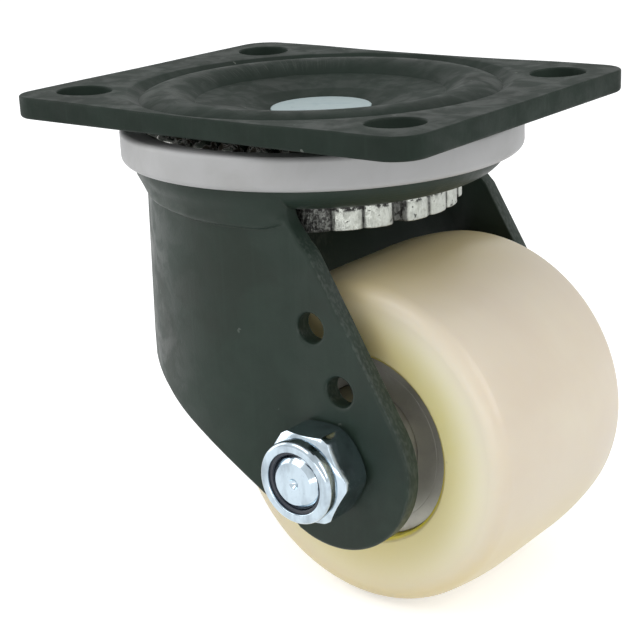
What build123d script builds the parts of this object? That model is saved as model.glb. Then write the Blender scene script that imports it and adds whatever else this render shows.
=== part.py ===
from build123d import *

import math
import os

# Swivel plate castor with a wrap-round pressed fork and a solid nylon wheel on two ball bearings.
# The origin is the centre of the plate's mounting face, on the swivel axis, with +Z up.
# The wheel trails towards +X, its axle lies along Y, and the axle nut is on the -Y side.

# Mounting plate
plate_length = 108.2
plate_width = 89.0
plate_thickness = 4.9
plate_corner_radius = 7.0
bolt_hole_diameter = 12.4
bolt_hole_to_end = 11.6
bolt_hole_to_side = 13.0

# Pressed dish in the plate: a dip, a round ridge over the ball race, and a well with the kingpin's head
dip_width = 2.9
ridge_foot_radius = 40.6
ridge_crest_radius = 35.0
ridge_crest_depth = 0.2
ridge_section_radius = 10.0
well_radius = 28.0
well_floor_depth = 6.9
well_floor_bow = 0.7
race_roof_depth = 5.9
race_lip_depth = 9.9

# Kingpin
kingpin_diameter = 16.0
kingpin_head_diameter = 22.8
kingpin_head_height = 3.0
kingpin_head_proud = 1.4
kingpin_head_chamfer = 0.3
kingpin_shoulder_width = 2.0
kingpin_peen_diameter = 24.0
kingpin_peen_height = 3.5
kingpin_peen_chamfer = 1.2

# Swivel bearing
upper_ball_diameter = 6.35
upper_ball_circle = 37.125
lower_ball_diameter = 4.0
lower_ball_circle_radius = 21.0
lower_ball_bite = 0.5
swivel_race_clearance = 0.05
ball_spacing_gap = 0.3
race_ring_gap = 0.35

# Notched lower race ring
race_ring_crest_radius = 31.2
race_ring_height = 5.45
race_ring_groups = 8
race_ring_lobes_per_group = 3
race_ring_lobe_bulge = 0.5
race_ring_notch_angle = 6.0
race_ring_notch_depth = 1.5
race_ring_turn = -21.0

# Fork
sheet_thickness = 4.2
leg_gap = 64.4
front_wall_bulge = 3.9
crown_underside_depth = 20.5
crown_lip_wall = 2.25
crown_lip_rise = 0.6
crown_race_wrap_angle = 110.0
crown_corner_radius = 8.5
crown_floor_flat = 8.5
crown_hole_clearance = 2.5
flare_top_depth = 15.0
flare_height = 8.2
flare_rear_reach = 20.5
leg_top_reach = 18.8
leg_end_radius = 19.7
front_edge_depth = 55.9
knee_reach = 8.0
knee_drop = 15.1
lower_edge_bow = 1.5
lower_edge_end_angle = 241.5
leg_hole_diameter = 6.56
upper_leg_hole_ahead = 3.89
upper_leg_hole_above = 29.2
lower_leg_hole_behind = 3.06
lower_leg_hole_above = 16.43

# Dust ring
dust_ring_wall = 2.7
dust_ring_height = 7.3
dust_ring_lip = 1.0
dust_ring_top_round = 0.9
dust_ring_bottom_round = 0.5

# Wheel
wheel_diameter = 75.0
wheel_width = 52.0
trail = 26.85
wheel_below_kingpin = 5.74
tread_flat_width = 19.0
tread_crown_drop = 1.8
tread_edge_round = 4.0
hub_recess_depth = 3.0
hub_chamfer = 1.0
hub_web_step = 2.5

# Wheel bearings
bearing_bore = 20.0
bearing_outside = 42.0
bearing_width = 12.0
bearing_ball_diameter = 6.35
bearing_ball_count = 9
bearing_land_above_groove = 2.5
bearing_race_clearance = 0.03
cage_wall = 2.6
cage_rail = 1.0
cage_pocket_clearance = 0.12
shield_thickness = 0.6
shield_inset = 0.3
shield_seat_step = 0.65
shield_inner_gap = 0.3

# Axle stack
bolt_diameter = 11.9
spacer_wall = 3.0
hexagon_flats = 19.0
bolt_head_height = 7.5
nut_hexagon_height = 9.3
nut_collar_height = 3.2
nut_collar_diameter = 18.0
nut_lip_height = 0.6
nut_lip_width = 0.8
insert_width = 1.9
hexagon_chamfer_height = 1.2
hexagon_chamfer_overrun = 0.6
nut_turn = 0.0
bolt_head_turn = 30.0
bolt_end_chamfer = 1.0
bolt_dimple_diameter = 2.4
bolt_dimple_depth = 0.5

# Fits, radial
seat_clearance = 0.02
bolt_clearance = 0.05
hole_clearance = 0.15

# Heights and radii that follow from the sizes above
bolt_spacing_x = plate_length - 2 * bolt_hole_to_end
bolt_spacing_y = plate_width - 2 * bolt_hole_to_side

dish_radius = ridge_foot_radius + dip_width
head_seat_z = -(well_floor_depth - kingpin_head_proud + kingpin_head_height)
plate_bottom_z = -(well_floor_depth + plate_thickness)

upper_ball_radius = upper_ball_diameter / 2
upper_race_radius = upper_ball_radius + swivel_race_clearance
upper_ball_z = -(race_roof_depth + upper_race_radius)

crown_underside = -crown_underside_depth
crown_floor_z = crown_underside + sheet_thickness
crown_lip_inner = upper_ball_circle + upper_race_radius
crown_radius = crown_lip_inner + crown_lip_wall
crown_lip_z = upper_ball_z + crown_lip_rise

leg_inner = leg_gap / 2
leg_outer = leg_inner + sheet_thickness
fork_radius = leg_outer + front_wall_bulge
fork_inner_radius = fork_radius - sheet_thickness
leg_joint_x = math.sqrt(fork_radius ** 2 - leg_outer ** 2)

lower_ball_radius = lower_ball_diameter / 2
lower_race_radius = lower_ball_radius + swivel_race_clearance
lower_ball_z = crown_underside + lower_ball_bite - lower_race_radius
race_ring_top = crown_underside - race_ring_gap
race_ring_bottom = race_ring_top - race_ring_height
kingpin_bottom = race_ring_bottom - kingpin_peen_height

kingpin_radius = kingpin_diameter / 2
kingpin_shoulder_radius = kingpin_radius + kingpin_shoulder_width
crown_hole_radius = kingpin_shoulder_radius + crown_hole_clearance

wheel_radius = wheel_diameter / 2
wheel_half_width = wheel_width / 2
axle_x = trail
axle_z = kingpin_bottom - wheel_below_kingpin - wheel_radius
overall_height = wheel_radius - axle_z
bearing_face = wheel_half_width - hub_recess_depth
bearing_back = bearing_face - bearing_width
bearing_centre = bearing_face - bearing_width / 2
bearing_pitch_radius = (bearing_bore + bearing_outside) / 4
bearing_ball_radius = bearing_ball_diameter / 2
inner_ring_radius = bearing_pitch_radius - bearing_land_above_groove
outer_ring_inner_radius = bearing_pitch_radius + bearing_land_above_groove
tube_radius = bearing_bore / 2 - seat_clearance
spacer_radius = bearing_bore / 2 + spacer_wall
bolt_radius = bolt_diameter / 2
nut_height = nut_hexagon_height + nut_collar_height

# Modelling values that aren't sizes of the castor
full_turn = 360.0
same_radius = 0.001
cutter_length = 2 * overall_height


def turned(*corners):
    """A solid turned about Z from the (radius, height) corners of its half section."""
    outline = Polyline(*[(radius, 0, height) for radius, height in corners], close=True)
    return revolve(make_face(outline), axis=Axis.Z)


def turned_from(*edges):
    """A solid turned about Z from the joined edges of its half section."""
    return revolve(make_face(list(edges)), axis=Axis.Z)


def section_line(*corners):
    """Straight edges through (radius, height) corners in the XZ plane."""
    return Polyline(*[(radius, 0, height) for radius, height in corners])


def section_arc(centre, radius, start, end):
    """An arc in the XZ plane about a (radius, height) centre, between two angles in degrees."""
    points = []
    for angle in (start, (start + end) / 2, end):
        turn = math.radians(angle)
        points.append((centre[0] + radius * math.cos(turn), 0, centre[1] + radius * math.sin(turn)))
    return ThreePointArc(*points)


def bowed_arc(start, end, bow):
    """An arc in the XZ plane whose middle lies to the right of its chord, seen along +Y."""
    dx = end[0] - start[0]
    dz = end[1] - start[1]
    length = math.hypot(dx, dz)
    middle = ((start[0] + end[0]) / 2 + bow * dz / length, (start[1] + end[1]) / 2 - bow * dx / length)
    return ThreePointArc(*[(x, 0, z) for x, z in (start, middle, end)])


def tube(inner, outer, low, high):
    """A plain tube about Z."""
    return turned((inner, low), (outer, low), (outer, high), (inner, high))


def ball_group(count, circle, ball_radius, height):
    """Separate balls spaced evenly on a circle about Z."""
    step = full_turn / count
    balls = [Rot(0, 0, step * i) * Pos(circle, 0, height) * Sphere(ball_radius) for i in range(count)]
    return Compound(children=balls)


def ball_count(circle, diameter):
    """How many balls fill a circle with the spacing gap between them."""
    return int(2 * math.pi * circle / (diameter + ball_spacing_gap))


def on_axle(shape, side=1):
    """Lay a shape made about Z on the axle, its +Z towards +Y, or towards -Y for side -1."""
    return Pos(axle_x, 0, axle_z) * Rot(-90 * side, 0, 0) * shape


def hexagon_blank(height, turn, chamfer_low, chamfer_high):
    """A hexagon bar about Z with turned chamfers at its ends."""
    outline = RegularPolygon(hexagon_flats / 2, 6, major_radius=False)
    bar = extrude(Rot(0, 0, turn) * outline, height)
    corner = hexagon_flats / math.sqrt(3)
    reach = corner + hexagon_chamfer_overrun
    chamfer_radius = hexagon_flats / 2
    envelope = [(0, 0)]
    if chamfer_low:
        envelope.append((chamfer_radius, 0))
        envelope.append((reach, hexagon_chamfer_height))
    else:
        envelope.append((reach, 0))
    if chamfer_high:
        envelope.append((reach, height - hexagon_chamfer_height))
        envelope.append((chamfer_radius, height))
    else:
        envelope.append((reach, height))
    envelope.append((0, height))
    return bar & turned(*envelope)


def make_top_plate():
    """Plate with a ridge pressed up over the ball race and a well round the kingpin's head."""
    blank = extrude(RectangleRounded(plate_length, plate_width, plate_corner_radius), -plate_thickness)
    blank -= Cylinder(dish_radius, cutter_length)
    bore = kingpin_radius + seat_clearance
    head = kingpin_head_diameter / 2 + seat_clearance
    race_lip = upper_ball_circle - upper_race_radius
    ridge_centre = (ridge_crest_radius, -(ridge_crest_depth + ridge_section_radius))
    foot_turn = math.acos((ridge_foot_radius - ridge_crest_radius) / ridge_section_radius)
    well_turn = math.acos((well_radius - ridge_crest_radius) / ridge_section_radius)
    foot_z = ridge_centre[1] + ridge_section_radius * math.sin(foot_turn)
    well_z = ridge_centre[1] + ridge_section_radius * math.sin(well_turn)
    dip = section_line((dish_radius, -plate_thickness), (dish_radius, 0), (ridge_foot_radius, foot_z))
    ridge = section_arc(ridge_centre, ridge_section_radius, math.degrees(foot_turn),
                        math.degrees(well_turn))
    middle = ((well_radius + head) / 2, 0, (well_z - well_floor_depth) / 2 + well_floor_bow)
    floor = ThreePointArc((well_radius, 0, well_z), middle, (head, 0, -well_floor_depth))
    seat = section_line((head, -well_floor_depth), (head, head_seat_z), (bore, head_seat_z),
                        (bore, plate_bottom_z), (head, plate_bottom_z), (race_lip, -race_lip_depth),
                        (race_lip, upper_ball_z))
    groove = section_arc((upper_ball_circle, upper_ball_z), upper_race_radius, 180, 90)
    under = section_line((upper_ball_circle, -race_roof_depth), (dish_radius, -plate_thickness))
    plate = blank + turned_from(dip, ridge, floor, seat, groove, under)
    for x in (-bolt_spacing_x / 2, bolt_spacing_x / 2):
        for y in (-bolt_spacing_y / 2, bolt_spacing_y / 2):
            plate -= Pos(x, y, 0) * Cylinder(bolt_hole_diameter / 2, cutter_length)
    return plate


def make_kingpin():
    """Headed pin with a shoulder between plate and lower race, peened over below."""
    head = kingpin_head_diameter / 2
    head_top = head_seat_z + kingpin_head_height
    peen = kingpin_peen_diameter / 2
    edge = kingpin_head_chamfer
    return turned((0, head_top), (head - edge, head_top), (head, head_top - edge), (head, head_seat_z),
                  (kingpin_radius, head_seat_z), (kingpin_radius, plate_bottom_z),
                  (kingpin_shoulder_radius, plate_bottom_z), (kingpin_shoulder_radius, race_ring_top),
                  (kingpin_radius, race_ring_top), (kingpin_radius, race_ring_bottom),
                  (peen, race_ring_bottom), (peen, kingpin_bottom + kingpin_peen_chamfer),
                  (peen - kingpin_peen_chamfer, kingpin_bottom), (0, kingpin_bottom))


def make_upper_balls():
    """Full ring of balls between plate and crown."""
    count = ball_count(upper_ball_circle, upper_ball_diameter)
    return ball_group(count, upper_ball_circle, upper_ball_radius, upper_ball_z)


def make_lower_balls():
    """Full ring of smaller balls between crown and lower race ring."""
    count = ball_count(lower_ball_circle_radius, lower_ball_diameter)
    return ball_group(count, lower_ball_circle_radius, lower_ball_radius, lower_ball_z)


def at_angle(radius, degrees):
    """A point in the XY plane at a polar position."""
    turn = math.radians(degrees)
    return (radius * math.cos(turn), radius * math.sin(turn))


def make_lower_race_ring():
    """Ring with lobed edge groups parted by notches, and a ball groove in its top."""
    group_angle = full_turn / race_ring_groups
    lobe_angle = (group_angle - race_ring_notch_angle) / race_ring_lobes_per_group
    valley = race_ring_crest_radius - race_ring_lobe_bulge
    floor = valley - race_ring_notch_depth
    edges = []
    for group in range(race_ring_groups):
        notch_mid = race_ring_turn + group * group_angle
        start = notch_mid - race_ring_notch_angle / 2
        end = notch_mid + race_ring_notch_angle / 2
        edges.append(ThreePointArc(at_angle(valley, start), at_angle(floor, notch_mid),
                                   at_angle(valley, end)))
        for lobe in range(race_ring_lobes_per_group):
            first = end + lobe * lobe_angle
            edges.append(ThreePointArc(at_angle(valley, first),
                                       at_angle(race_ring_crest_radius, first + lobe_angle / 2),
                                       at_angle(valley, first + lobe_angle)))
    ring = Pos(0, 0, race_ring_bottom) * extrude(make_face(edges), race_ring_height)
    ring -= Cylinder(kingpin_radius + seat_clearance, cutter_length)
    ring -= tube(lower_ball_circle_radius - lower_race_radius,
                 lower_ball_circle_radius + lower_race_radius, lower_ball_z, crown_underside)
    ring -= Pos(0, 0, lower_ball_z) * Torus(lower_ball_circle_radius, lower_race_radius)
    return ring


def make_crown():
    """Round bowl of the fork, with the ball race inside its lip."""
    corner = crown_radius - crown_corner_radius
    groove_start = -crown_race_wrap_angle
    start = (upper_ball_circle + upper_race_radius * math.cos(math.radians(groove_start)),
             upper_ball_z + upper_race_radius * math.sin(math.radians(groove_start)))
    under = section_line((crown_hole_radius, crown_underside), (corner, crown_underside))
    round_corner = section_arc((corner, crown_underside + crown_corner_radius), crown_corner_radius,
                               -90, 0)
    rise = section_line((crown_radius, crown_underside + crown_corner_radius),
                        (crown_radius, crown_lip_z), (crown_lip_inner, crown_lip_z),
                        (crown_lip_inner, upper_ball_z))
    groove = section_arc((upper_ball_circle, upper_ball_z), upper_race_radius, 0, groove_start)
    floor = section_line(start, (crown_radius - crown_floor_flat, crown_floor_z),
                         (crown_hole_radius, crown_floor_z), (crown_hole_radius, crown_underside))
    crown = turned_from(under, round_corner, rise, groove, floor)
    return crown - Pos(0, 0, lower_ball_z) * Torus(lower_ball_circle_radius, lower_race_radius)


def make_front_flare():
    """Cone that blends the crown's lip into the front wall, cut off slanting at the rear."""
    top = -flare_top_depth
    foot = top - flare_height
    cone = turned((fork_inner_radius, top), (crown_radius, top), (fork_radius, foot),
                  (fork_inner_radius, foot))
    keep = Polyline((-2 * fork_radius, 0, top), (flare_rear_reach, 0, top),
                    (flare_rear_reach, 0, top - flare_height / 2),
                    (leg_joint_x - flare_height / 2, 0, foot), (-2 * fork_radius, 0, foot), close=True)
    return cone & extrude(make_face(keep), 2 * fork_radius, dir=(0, 1, 0), both=True)


def tangent_point(point, centre, radius):
    """Where a line from an outside point touches a circle, on the side with the larger x."""
    dx = point[0] - centre[0]
    dz = point[1] - centre[1]
    distance = math.hypot(dx, dz)
    base = math.atan2(dz, dx)
    swing = math.acos(radius / distance)
    turn = base - swing
    return (centre[0] + radius * math.cos(turn), centre[1] + radius * math.sin(turn)), math.degrees(turn)


def make_side_profile():
    """Side outline of the fork below the crown, as a thick slab along Y."""
    axle = (axle_x, axle_z)
    rear_top = (leg_top_reach, crown_underside)
    touch, touch_angle = tangent_point(rear_top, axle, leg_end_radius)
    slope = (rear_top[0] - touch[0]) / (rear_top[1] - touch[1])
    top_z = -flare_top_depth
    top_x = rear_top[0] + slope * (top_z - rear_top[1])
    end_turn = math.radians(lower_edge_end_angle)
    end = (axle[0] + leg_end_radius * math.cos(end_turn), axle[1] + leg_end_radius * math.sin(end_turn))
    knee = (-knee_reach, -(front_edge_depth + knee_drop))
    front_x = -fork_radius - sheet_thickness
    front_slope = knee_drop / (fork_radius - knee_reach)
    front = (front_x, -front_edge_depth + front_slope * sheet_thickness)
    edges = [
        section_line(knee, front, (front_x, top_z), (top_x, top_z), touch),
        section_arc(axle, leg_end_radius, touch_angle, lower_edge_end_angle - full_turn),
        bowed_arc(end, knee, lower_edge_bow),
    ]
    return extrude(make_face(edges), 2 * fork_radius, dir=(0, 1, 0), both=True)


def make_wall_and_legs():
    """Front wall rolled round the swivel axis, running on into two flat legs."""
    inner_joint_x = math.sqrt(fork_inner_radius ** 2 - leg_inner ** 2)
    far_x = axle_x + leg_end_radius + sheet_thickness
    edges = [
        ThreePointArc((leg_joint_x, -leg_outer), (-fork_radius, 0), (leg_joint_x, leg_outer)),
        Polyline((leg_joint_x, leg_outer), (far_x, leg_outer), (far_x, leg_inner),
                 (inner_joint_x, leg_inner)),
        ThreePointArc((inner_joint_x, leg_inner), (-fork_inner_radius, 0), (inner_joint_x, -leg_inner)),
        Polyline((inner_joint_x, -leg_inner), (far_x, -leg_inner), (far_x, -leg_outer),
                 (leg_joint_x, -leg_outer)),
    ]
    wall = Pos(0, 0, -overall_height) * extrude(make_face(edges), overall_height)
    return wall & make_side_profile()


def cross_hole(diameter, x, z):
    """A round cutter along Y through both legs."""
    return Pos(x, 0, z) * Rot(90, 0, 0) * Cylinder(diameter / 2, cutter_length)


def make_fork():
    """Crown, front flare, wall and legs as one pressing with its holes."""
    fork = make_crown() + make_front_flare() + make_wall_and_legs()
    fork -= cross_hole(bolt_diameter + 2 * hole_clearance, axle_x, axle_z)
    fork -= cross_hole(leg_hole_diameter, axle_x - upper_leg_hole_ahead, axle_z + upper_leg_hole_above)
    fork -= cross_hole(leg_hole_diameter, axle_x + lower_leg_hole_behind, axle_z + lower_leg_hole_above)
    return fork


def make_dust_ring():
    """Ring with an inturned lip that sits on the crown's lip."""
    inner = crown_radius + seat_clearance
    outer = inner + dust_ring_wall
    top = crown_lip_z + dust_ring_lip
    bottom = top - dust_ring_height
    ring = turned((inner, bottom), (outer, bottom), (outer, top), (crown_lip_inner, top),
                  (crown_lip_inner, crown_lip_z), (inner, crown_lip_z))
    rims = ring.edges().filter_by(GeomType.CIRCLE)
    rims = rims.filter_by(lambda e: abs(e.radius - outer) < same_radius)
    ring = fillet(rims.sort_by(Axis.Z)[-1], dust_ring_top_round)
    rims = ring.edges().filter_by(GeomType.CIRCLE)
    rims = rims.filter_by(lambda e: abs(e.radius - outer) < same_radius)
    return fillet(rims.sort_by(Axis.Z)[0], dust_ring_bottom_round)


def make_wheel():
    """Solid wheel with a gently crowned tread and a bearing seat from each side."""
    seat = bearing_outside / 2 + seat_clearance
    web = bearing_outside / 2 - hub_web_step
    flat = tread_flat_width / 2
    run = wheel_half_width - flat
    crown = (run ** 2 + tread_crown_drop ** 2) / (2 * tread_crown_drop)
    half = run / 2
    half_drop = crown - math.sqrt(crown ** 2 - half ** 2)
    edge = wheel_radius - tread_crown_drop
    edges = []
    for s in (1, -1):
        edges.append(section_line((web, 0), (web, s * bearing_back), (seat, s * bearing_back),
                                  (seat, s * (wheel_half_width - hub_chamfer)),
                                  (seat + hub_chamfer, s * wheel_half_width),
                                  (edge, s * wheel_half_width)))
        edges.append(ThreePointArc((edge, 0, s * wheel_half_width),
                                   (wheel_radius - half_drop, 0, s * (flat + half)),
                                   (wheel_radius, 0, s * flat)))
    edges.append(section_line((wheel_radius, -flat), (wheel_radius, flat)))
    wheel = turned_from(*edges)
    rims = wheel.edges().filter_by(GeomType.CIRCLE)
    rims = rims.filter_by(lambda e: abs(e.radius - edge) < same_radius)
    return on_axle(fillet(rims, tread_edge_round))


def make_bearing_pieces():
    """The pieces of one bearing about Z, centred on the origin."""
    half = bearing_width / 2
    race = bearing_ball_radius + bearing_race_clearance
    groove = Torus(bearing_pitch_radius, race)
    shield_seat = outer_ring_inner_radius + shield_seat_step
    shield_out = half - shield_inset
    shield_in = shield_out - shield_thickness
    inner_ring = tube(bearing_bore / 2, inner_ring_radius, -half, half) - groove
    outer_ring = turned((outer_ring_inner_radius, -shield_in), (shield_seat, -shield_in),
                        (shield_seat, -half), (bearing_outside / 2, -half),
                        (bearing_outside / 2, half), (shield_seat, half), (shield_seat, shield_in),
                        (outer_ring_inner_radius, shield_in)) - groove
    balls = ball_group(bearing_ball_count, bearing_pitch_radius, bearing_ball_radius, 0)
    pocket = bearing_ball_radius + cage_pocket_clearance
    cage_half = pocket + cage_rail
    cage = tube(bearing_pitch_radius - cage_wall / 2, bearing_pitch_radius + cage_wall / 2,
                -cage_half, cage_half)
    cutter = Pos(bearing_pitch_radius, 0, 0) * Rot(0, 90, 0) * Cylinder(pocket, bearing_width)
    for i in range(bearing_ball_count):
        cage -= Rot(0, 0, full_turn * i / bearing_ball_count) * cutter
    shield = tube(inner_ring_radius + shield_inner_gap, shield_seat - seat_clearance,
                  shield_in, shield_out)
    return {
        "outer_ring": outer_ring,
        "inner_ring": inner_ring,
        "balls": balls,
        "cage": cage,
        "outer_shield": shield,
        "inner_shield": Rot(180, 0, 0) * shield,
    }


def make_axle_tube():
    """Tube clamped between the legs."""
    return on_axle(tube(bolt_radius + bolt_clearance, tube_radius, -leg_inner, leg_inner))


def make_centre_spacer():
    """Tube between the two inner rings."""
    return on_axle(tube(bearing_bore / 2, spacer_radius, -bearing_back, bearing_back))


def make_side_spacer(side):
    """Collar from an inner ring to its leg."""
    return on_axle(tube(bearing_bore / 2, spacer_radius, bearing_face, leg_inner), side)


def make_axle_bolt():
    """Hexagon bolt, its head on the +Y side and its end flush with the nut."""
    end = -(leg_outer + nut_height)
    shank = turned((0, leg_outer), (bolt_radius, leg_outer), (bolt_radius, end + bolt_end_chamfer),
                   (bolt_radius - bolt_end_chamfer, end), (bolt_dimple_diameter / 2, end),
                   (0, end + bolt_dimple_depth))
    head = Pos(0, 0, leg_outer) * hexagon_blank(bolt_head_height, bolt_head_turn, False, True)
    return on_axle(shank + head)


def make_axle_nut():
    """Locking nut with a turned collar that holds the nylon insert."""
    bore = bolt_radius + bolt_clearance
    pocket = bore + insert_width
    collar = nut_collar_diameter / 2
    pocket_top = nut_height - nut_lip_height
    nut = hexagon_blank(nut_hexagon_height, nut_turn, True, True)
    nut += tube(bore, collar, 0, nut_height)
    nut -= Cylinder(bore, cutter_length)
    nut -= tube(bore, pocket, nut_hexagon_height, pocket_top)
    nut -= tube(bore, pocket - nut_lip_width, nut_hexagon_height, nut_height)
    rim = nut.edges().filter_by(GeomType.CIRCLE).filter_by(lambda e: abs(e.radius - collar) < same_radius)
    nut = fillet(rim.sort_by(Axis.Z)[-1], nut_lip_height)
    return on_axle(Pos(0, 0, leg_outer) * nut, -1)


def make_nut_insert():
    """Nylon ring crimped into the nut's collar."""
    bore = bolt_radius + bolt_clearance
    low = leg_outer + nut_hexagon_height
    high = leg_outer + nut_height - nut_lip_height
    return on_axle(tube(bore, bore + insert_width - seat_clearance, low, high), -1)


def make_all():
    """Every node of the castor by name."""
    nodes = {
        "top_plate": make_top_plate(),
        "kingpin": make_kingpin(),
        "upper_balls": make_upper_balls(),
        "lower_balls": make_lower_balls(),
        "lower_race_ring": make_lower_race_ring(),
        "dust_ring": make_dust_ring(),
        "fork": make_fork(),
        "wheel": make_wheel(),
        "axle_tube": make_axle_tube(),
        "centre_spacer": make_centre_spacer(),
        "left_spacer": make_side_spacer(-1),
        "right_spacer": make_side_spacer(1),
        "axle_bolt": make_axle_bolt(),
        "axle_nut": make_axle_nut(),
        "nut_insert": make_nut_insert(),
    }
    for name, side in (("left", -1), ("right", 1)):
        for piece, shape in make_bearing_pieces().items():
            nodes[f"{name}_bearing_{piece}"] = on_axle(Pos(0, 0, bearing_centre) * shape, side)
    return nodes


os.makedirs("parts", exist_ok=True)
for node_name, node_shape in make_all().items():
    export_step(node_shape, os.path.join("parts", node_name + ".step"))
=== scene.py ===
"""Looks of a swivel plate castor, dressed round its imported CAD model."""

import logging
import math
from collections.abc import Callable, Sequence
from dataclasses import dataclass, field
from enum import Enum

import bmesh
import bpy
import numpy as np
from mathutils import Matrix, Vector
from mathutils.geometry import delaunay_2d_cdt


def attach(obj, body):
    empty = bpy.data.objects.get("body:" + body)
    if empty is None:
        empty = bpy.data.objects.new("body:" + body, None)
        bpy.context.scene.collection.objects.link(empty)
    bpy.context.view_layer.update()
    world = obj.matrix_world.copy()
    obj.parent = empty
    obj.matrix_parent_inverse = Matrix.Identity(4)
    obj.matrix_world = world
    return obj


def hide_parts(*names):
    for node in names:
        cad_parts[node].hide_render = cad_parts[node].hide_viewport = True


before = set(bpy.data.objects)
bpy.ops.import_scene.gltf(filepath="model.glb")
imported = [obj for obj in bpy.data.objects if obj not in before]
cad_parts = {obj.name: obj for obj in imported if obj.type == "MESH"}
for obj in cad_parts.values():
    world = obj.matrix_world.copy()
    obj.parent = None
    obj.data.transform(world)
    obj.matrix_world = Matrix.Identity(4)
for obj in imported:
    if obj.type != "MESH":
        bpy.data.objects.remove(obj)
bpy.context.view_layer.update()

logging.basicConfig(level=logging.INFO, format="%(message)s")
log = logging.getLogger("castor")

MM = 0.001
NODE_WIDTH = 180
NODE_HEIGHT = 160
NODE_ROWS = 5
FULL_TURN = 2 * math.pi
AXLE = (26.85, -73.04)

Point = tuple[float, float]
Corner = tuple[float, float, float]
Colour = tuple[float, float, float]
Place = Callable[[Vector], Vector]
Socket = bpy.types.NodeSocket
Node = bpy.types.Node
Material = bpy.types.Material


class Body(Enum):
    """The castor's moving bodies."""

    MOUNTING = "mounting"
    FORK = "fork_assembly"
    WHEEL = "wheel_assembly"


class Side(Enum):
    """Which side of the wheel a piece is on, as the sign of its Y."""

    LEFT = -1
    RIGHT = 1


class Effect(Enum):
    """Shader effects that several finishes share."""

    PATCHES = "patches"
    EDGE_RUB = "edge_rub"
    STREAKS = "streaks"
    GRAIN = "grain"
    SPECKS = "specks"
    RADIAL = "radial"


# Colours


def plain_light(red: int, green: int, blue: int) -> Colour:
    """Turn a colour as a screen shows it into the linear colour of a surface.

    Args:
        red: Red, 0 to 255.
        green: Green, 0 to 255.
        blue: Blue, 0 to 255.

    Returns:
        The linear colour.
    """
    linear = []
    for value in (red, green, blue):
        share = value / 255
        linear.append(share / 12.92 if share <= 0.04045 else ((share + 0.055) / 1.055) ** 2.4)
    return (linear[0], linear[1], linear[2])


# Shader nodes


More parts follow.
